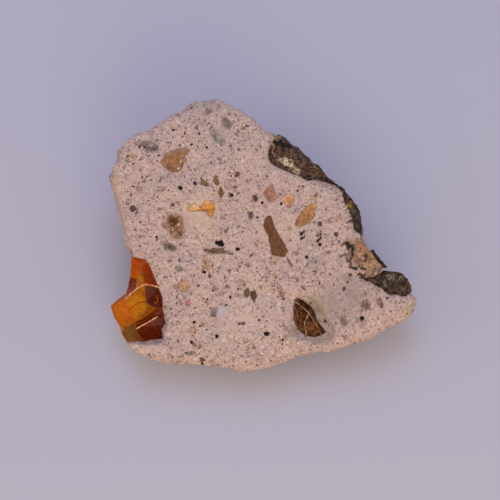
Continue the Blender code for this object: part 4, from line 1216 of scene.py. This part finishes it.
# The amber opal's breaks, told as the fire opal's are. Their tints are partly the opal's colour and partly
# painted light and shade: mostly lighter on the left, darker on the steep breaks right of the crest.
AMBER_BREAKS = [
    ((84, 60, 48), 0.06, (1.0, 0.4), "top upper_right crest_top"),
    ((80, 56, 46), 0.06, (1.0, 0.4), "upper_right right crest_middle crest_top"),
    ((130, 100, 80), 0.06, (1.0, 0.4), "right low_right tail_neck crest_low crest_middle"),
    ((170, 140, 110), 0.08, (1.0, 0.4), "tail_neck tail_bend tail tail_under crest_end crest_low"),
    ((220, 180, 150), 0.06, (1.0, 0.4), "crest_end tail_under bottom bottom_left rib crest_low"),
    ((140, 124, 104), 0.06, (0.4, 1.0), "rib crest_middle crest_low"),
    ((196, 160, 120), 0.06, (0.4, 1.0), "rib bottom_left low_left left hollow"),
    ((240, 206, 160), 0.06, (0.4, 1.0), "left upper_left hollow"),
    ((255, 240, 190), 0.06, (0.4, 1.0), "hollow upper_left side"),
    ((255, 255, 220), 0.06, (0.4, 1.0), "hollow side shoulder crest_top"),
    ((255, 244, 200), 0.06, (0.4, 1.0), "shoulder top crest_top"),
    ((130, 116, 96), 0.06, (0.4, 1.0), "hollow crest_top crest_middle rib"),
]
AMBER_CRESTS = [
    "shoulder crest_top crest_middle crest_low crest_end tail_under",
    "crest_middle rib bottom_left",
]
# Lines and dots on the amber opal, told as the fire opal's are. The two pale dots and the pale line along
# its lower rim are painted glints.
AMBER_VEINS = [
    (0.08, (214, 170, 120), [(6.9, -12.6), (7.4, -13.4), (7.2, -14.2), (7.8, -14.9)]),
    (0.07, (200, 150, 96), [(8.3, -14.2), (8.4, -15.0), (9.0, -15.8), (9.1, -16.8)]),
    (0.07, (206, 160, 110), [(6.5, -15.6), (7.3, -15.9), (8.3, -16.6), (9.4, -16.4)]),
    (0.1, (236, 214, 176), [(9.8, -16.7), (9.7, -16.9)]),
    (0.1, (236, 214, 176), [(10.3, -16.3), (10.2, -16.4)]),
    (0.1, (246, 214, 190), [(8.3, -17.7), (9.3, -18.0), (10.8, -17.9)]),
    (0.14, (60, 34, 16), [(6.3, -13.4), (6.5, -15.0), (7.2, -16.4)]),
]
amber_opal = broken_gem(
    "amber_opal_gem", AMBER_RIM, AMBER_CROWN, AMBER_BREAKS, AMBER_CRESTS, 0.06, (8.3, -15.2),
    [0.06, 0.5], AMBER_BED,
    [clear_opal("amber opal", (0.95, 0.82, 0.5, 1.0), 240.0, AMBER_VEINS),
     chipped_highlit_edge("chipped amber opal with painted highlight", (236, 196, 160), (120, 78, 46)),
     milky_opal("milky amber opal", (232, 184, 122), (104, 66, 40))],
)
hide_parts("amber_opal")
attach(amber_opal, "root")

# The dark crust. Brown-black glassy matter that lines the lump's upper right edge, knobbly and
# mixed with cream and olive bits.
CRUST_PATCHES = [
    ((7.7, 11.0, -1.0), (1.7, 1.0, 2.5), -35.0, 0.7, 0.8, (108, 78, 66), (62, 40, 32)),
    ((5.0, 12.9, -1.0), (1.6, 1.0, 2.5), -38.0, 0.4, 1.0, (240, 216, 180), (140, 104, 74)),
    ((3.6, 13.4, -1.0), (0.7, 0.6, 2.5), -20.0, 0.4, 0.9, (226, 200, 162), (110, 80, 56)),
    ((7.0, 10.3, -1.0), (0.8, 0.5, 2.5), -30.0, 0.4, 0.9, (214, 186, 148), (96, 66, 46)),
    ((9.2, 13.0, -1.0), (0.8, 0.4, 2.5), -40.0, 0.4, 0.8, (176, 150, 112), (72, 50, 36)),
    ((6.5, 11.5, -1.0), (1.0, 0.7, 2.5), -35.0, 0.4, 0.95, (226, 196, 156), (110, 80, 56)),
    ((3.1, 17.5, -1.0), (1.1, 0.9, 2.5), -45.0, 0.6, 0.9, (196, 170, 126), (76, 58, 40)),
    ((9.9, 11.2, -1.0), (1.2, 1.5, 2.5), -30.0, 0.7, 0.8, (126, 92, 52), (48, 30, 18)),
    ((12.2, 9.9, -1.2), (1.5, 0.8, 2.5), -40.0, 0.7, 0.8, (98, 72, 50), (36, 24, 16)),
    ((15.9, 5.4, -1.2), (0.6, 1.1, 2.5), 30.0, 0.5, 1.0, (176, 144, 62), (96, 70, 30)),
    ((15.1, 6.1, -1.2), (0.5, 0.8, 2.5), 15.0, 0.6, 0.9, (88, 32, 18), (50, 18, 10)),
    ((17.2, 2.4, -1.2), (1.4, 2.8, 3.0), 10.0, 0.6, 0.8, (86, 80, 70), (34, 30, 26)),
]
CRUST_VEINS = [
    (0.55, (20, 14, 10), [(4.4, 18.6), (7.4, 15.9), (11.3, 11.9), (15.4, 8.5), (18.6, 3.9),
                          (19.0, 0.0)]),
    (0.5, (18, 12, 8), [(1.5, 16.0), (3.6, 16.6), (5.7, 15.6)]),
    (0.12, (188, 162, 138), [(2.5, 16.3), (2.25, 15.1), (2.4, 14.0)]),
    (0.1, (160, 128, 96), [(2.7, 13.5), (3.8, 13.0)]),
    # A painted glint: the white dot on the crust.
    (0.14, (246, 236, 214), [(9.85, 12.3), (9.95, 12.1)]),
    (0.09, (176, 146, 96), [(6.0, 15.9), (6.05, 15.9)]),
    (0.09, (196, 166, 110), [(8.1, 13.7), (8.15, 13.6)]),
    (0.1, (176, 140, 92), [(10.6, 10.6), (10.7, 10.5)]),
    (0.4, (26, 18, 12), [(9.0, 9.7), (10.0, 9.6)]),
]


def crust_relief(place):
    """Knobs and small pits in the dark crust."""
    return 0.32 * crumble(place, 1.5, 21.0) + 0.1 * crumble(place, 0.5, 22.0, 2) - 0.1


def dark_matter(name, base, light, gloss):
    """Dark glassy crust or nodule: mottled, glossy on its knobs, with stains of other colours."""
    material = bpy.data.materials.new(name)
    material.use_nodes = True
    tree = material.node_tree
    shader = tree.nodes["Principled BSDF"]
    shader.inputs["Specular IOR Level"].default_value = 0.25
    places = add(tree, "Group", node_tree=PLACES)
    swayed = places.outputs["Swayed"]
    mottle = noisy(tree, swayed, 1.3, 5.0, 0.65)
    colour = blended(tree, ramp(tree, mottle, 0.42, 0.62), tint(*base), tint(*light))
    fine = noisy(tree, swayed, 2.6, 4.0, 0.7)
    colour = show_stains(tree, colour, fine)
    colour = blended(tree, 1.0, colour, ramp(tree, fine, 0.35, 0.65, 0.6, 1.2), "MULTIPLY")
    feed(tree, shader.inputs["Base Color"], colour)
    feed(tree, shader.inputs["Roughness"], ramp(tree, mottle, 0.3, 0.7, gloss, gloss + 0.4))
    bump = add(tree, "Bump", {"Height": fine, "Distance": 0.16 * MM, "Strength": 0.8})
    feed(tree, shader.inputs["Normal"], bump.outputs["Normal"])
    return material


def ragged_foot(mesh, node, drop, seed):
    """Let a piece's lower edge run down unevenly into the rock, by up to so many millimetres."""
    low, high = (np.array(corner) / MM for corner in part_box(node))
    places = read_places(mesh)
    for index, place in enumerate(places):
        lower = step(place[2], low[2] + 0.7 * (high[2] - low[2]), low[2])
        uneven = max(0.0, 0.4 + 1.3 * noise.noise(Vector((place[0] / 2.1, place[1] / 2.1, seed))))
        places[index][2] -= drop * lower * uneven
    write_places(mesh, places)


crust = fine_copy("dark_crust", "dark_crust_rind", 0.17)
ragged_foot(crust.data, "dark_crust", 1.6, 3.0)
soften(crust.data, 3, 0.5)
roughen(crust.data, crust_relief)
stain(crust.data, CRUST_PATCHES, CRUST_VEINS)
crust.data.materials.append(dark_matter("crust glass", (50, 32, 25), (122, 88, 68), 0.26))
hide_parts("dark_crust")
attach(crust, "root")

# The dark nodule at the right tip: a grey-black knob, rusty on its outer side.
NODULE_PATCHES = [
    ((23.2, -7.5, -0.5), (0.9, 0.7, 2.0), 0.0, 0.6, 0.85, (186, 166, 144), (92, 72, 56)),
    ((22.2, -8.8, -0.5), (0.45, 1.0, 2.0), 0.0, 0.6, 0.7, (150, 136, 122), (70, 54, 44)),
    ((24.9, -7.8, -0.5), (0.8, 0.6, 2.0), 30.0, 0.6, 0.7, (150, 132, 114), (74, 56, 44)),
    ((25.3, -9.6, -0.5), (0.8, 0.7, 2.0), 0.0, 0.6, 0.8, (140, 126, 116), (80, 64, 54)),
    ((26.7, -9.0, -0.5), (0.8, 1.9, 3.0), 10.0, 0.6, 0.9, (136, 88, 54), (84, 50, 28)),
    ((19.6, -8.0, -0.5), (1.6, 0.6, 2.0), -20.0, 0.6, 0.8, (112, 90, 70), (60, 42, 32)),
]
nodule = fine_copy("dark_nodule", "dark_nodule_knob", 0.15)
ragged_foot(nodule.data, "dark_nodule", 1.0, 7.0)
soften(nodule.data, 3, 0.5)
roughen(nodule.data, lambda place: 0.28 * crumble(place, 1.1, 31.0) - 0.06)
stain(nodule.data, NODULE_PATCHES, ())
nodule.data.materials.append(dark_matter("nodule", (40, 27, 20), (92, 68, 50), 0.4))
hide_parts("dark_nodule")
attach(nodule, "root")

# The black chip: a sliver of black glass on the bleached corner.
chip = fine_copy("black_chip", "black_glass_chip", 0.12)
soften(chip.data, 2, 0.5)
roughen(chip.data, lambda place: 0.12 * crumble(place, 0.9, 41.0))
stain(chip.data, (), ())
chip.data.materials.append(dark_matter("black glass", (22, 14, 10), (60, 40, 28), 0.2))
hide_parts("black_chip")
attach(chip, "root")

# The table. A sheet of pale lilac paper under the specimen.
bpy.ops.mesh.primitive_plane_add(size=12.0)
table = bpy.context.object
table.name = "table"
paper = bpy.data.materials.new("pale paper")
paper.use_nodes = True
paper_shader = paper.node_tree.nodes["Principled BSDF"]
paper_shader.inputs["Base Color"].default_value = (0.53, 0.51, 0.62, 1.0)
paper_shader.inputs["Roughness"].default_value = 0.9
table.data.materials.append(paper)


def soft_light(name, place, aim, size, power, colour):
    """A square soft light, its sizes in millimetres, turned to what it lights."""
    lamp = bpy.data.objects.new(name, bpy.data.lights.new(name, "AREA"))
    bpy.context.scene.collection.objects.link(lamp)
    lamp.data.size = size * MM
    lamp.data.energy = power
    lamp.data.color = colour
    lamp.location = Vector(place) * MM
    lamp.rotation_euler = (Vector(aim) - Vector(place)).to_track_quat("-Z", "Y").to_euler()


soft_light("left lamp", (-197, -36, 147), (-5, 0, 8), 110, 0.05, (1.0, 0.8, 0.6))
soft_light("front lamp", (45, -212, 118), (0, -20, 5), 210, 0.245, (1.0, 0.83, 0.58))
soft_light("window light", (-20, 150, 280), (0, 0, 5), 200, 0.29, (0.34, 0.52, 1.0))

sky = bpy.data.worlds.new("pale room")
bpy.context.scene.world = sky
sky.use_nodes = True
sky.node_tree.nodes["Background"].inputs["Color"].default_value = (1.0, 0.92, 0.86, 1.0)
sky.node_tree.nodes["Background"].inputs["Strength"].default_value = 0.555
bpy.context.scene.view_settings.view_transform = "Standard"
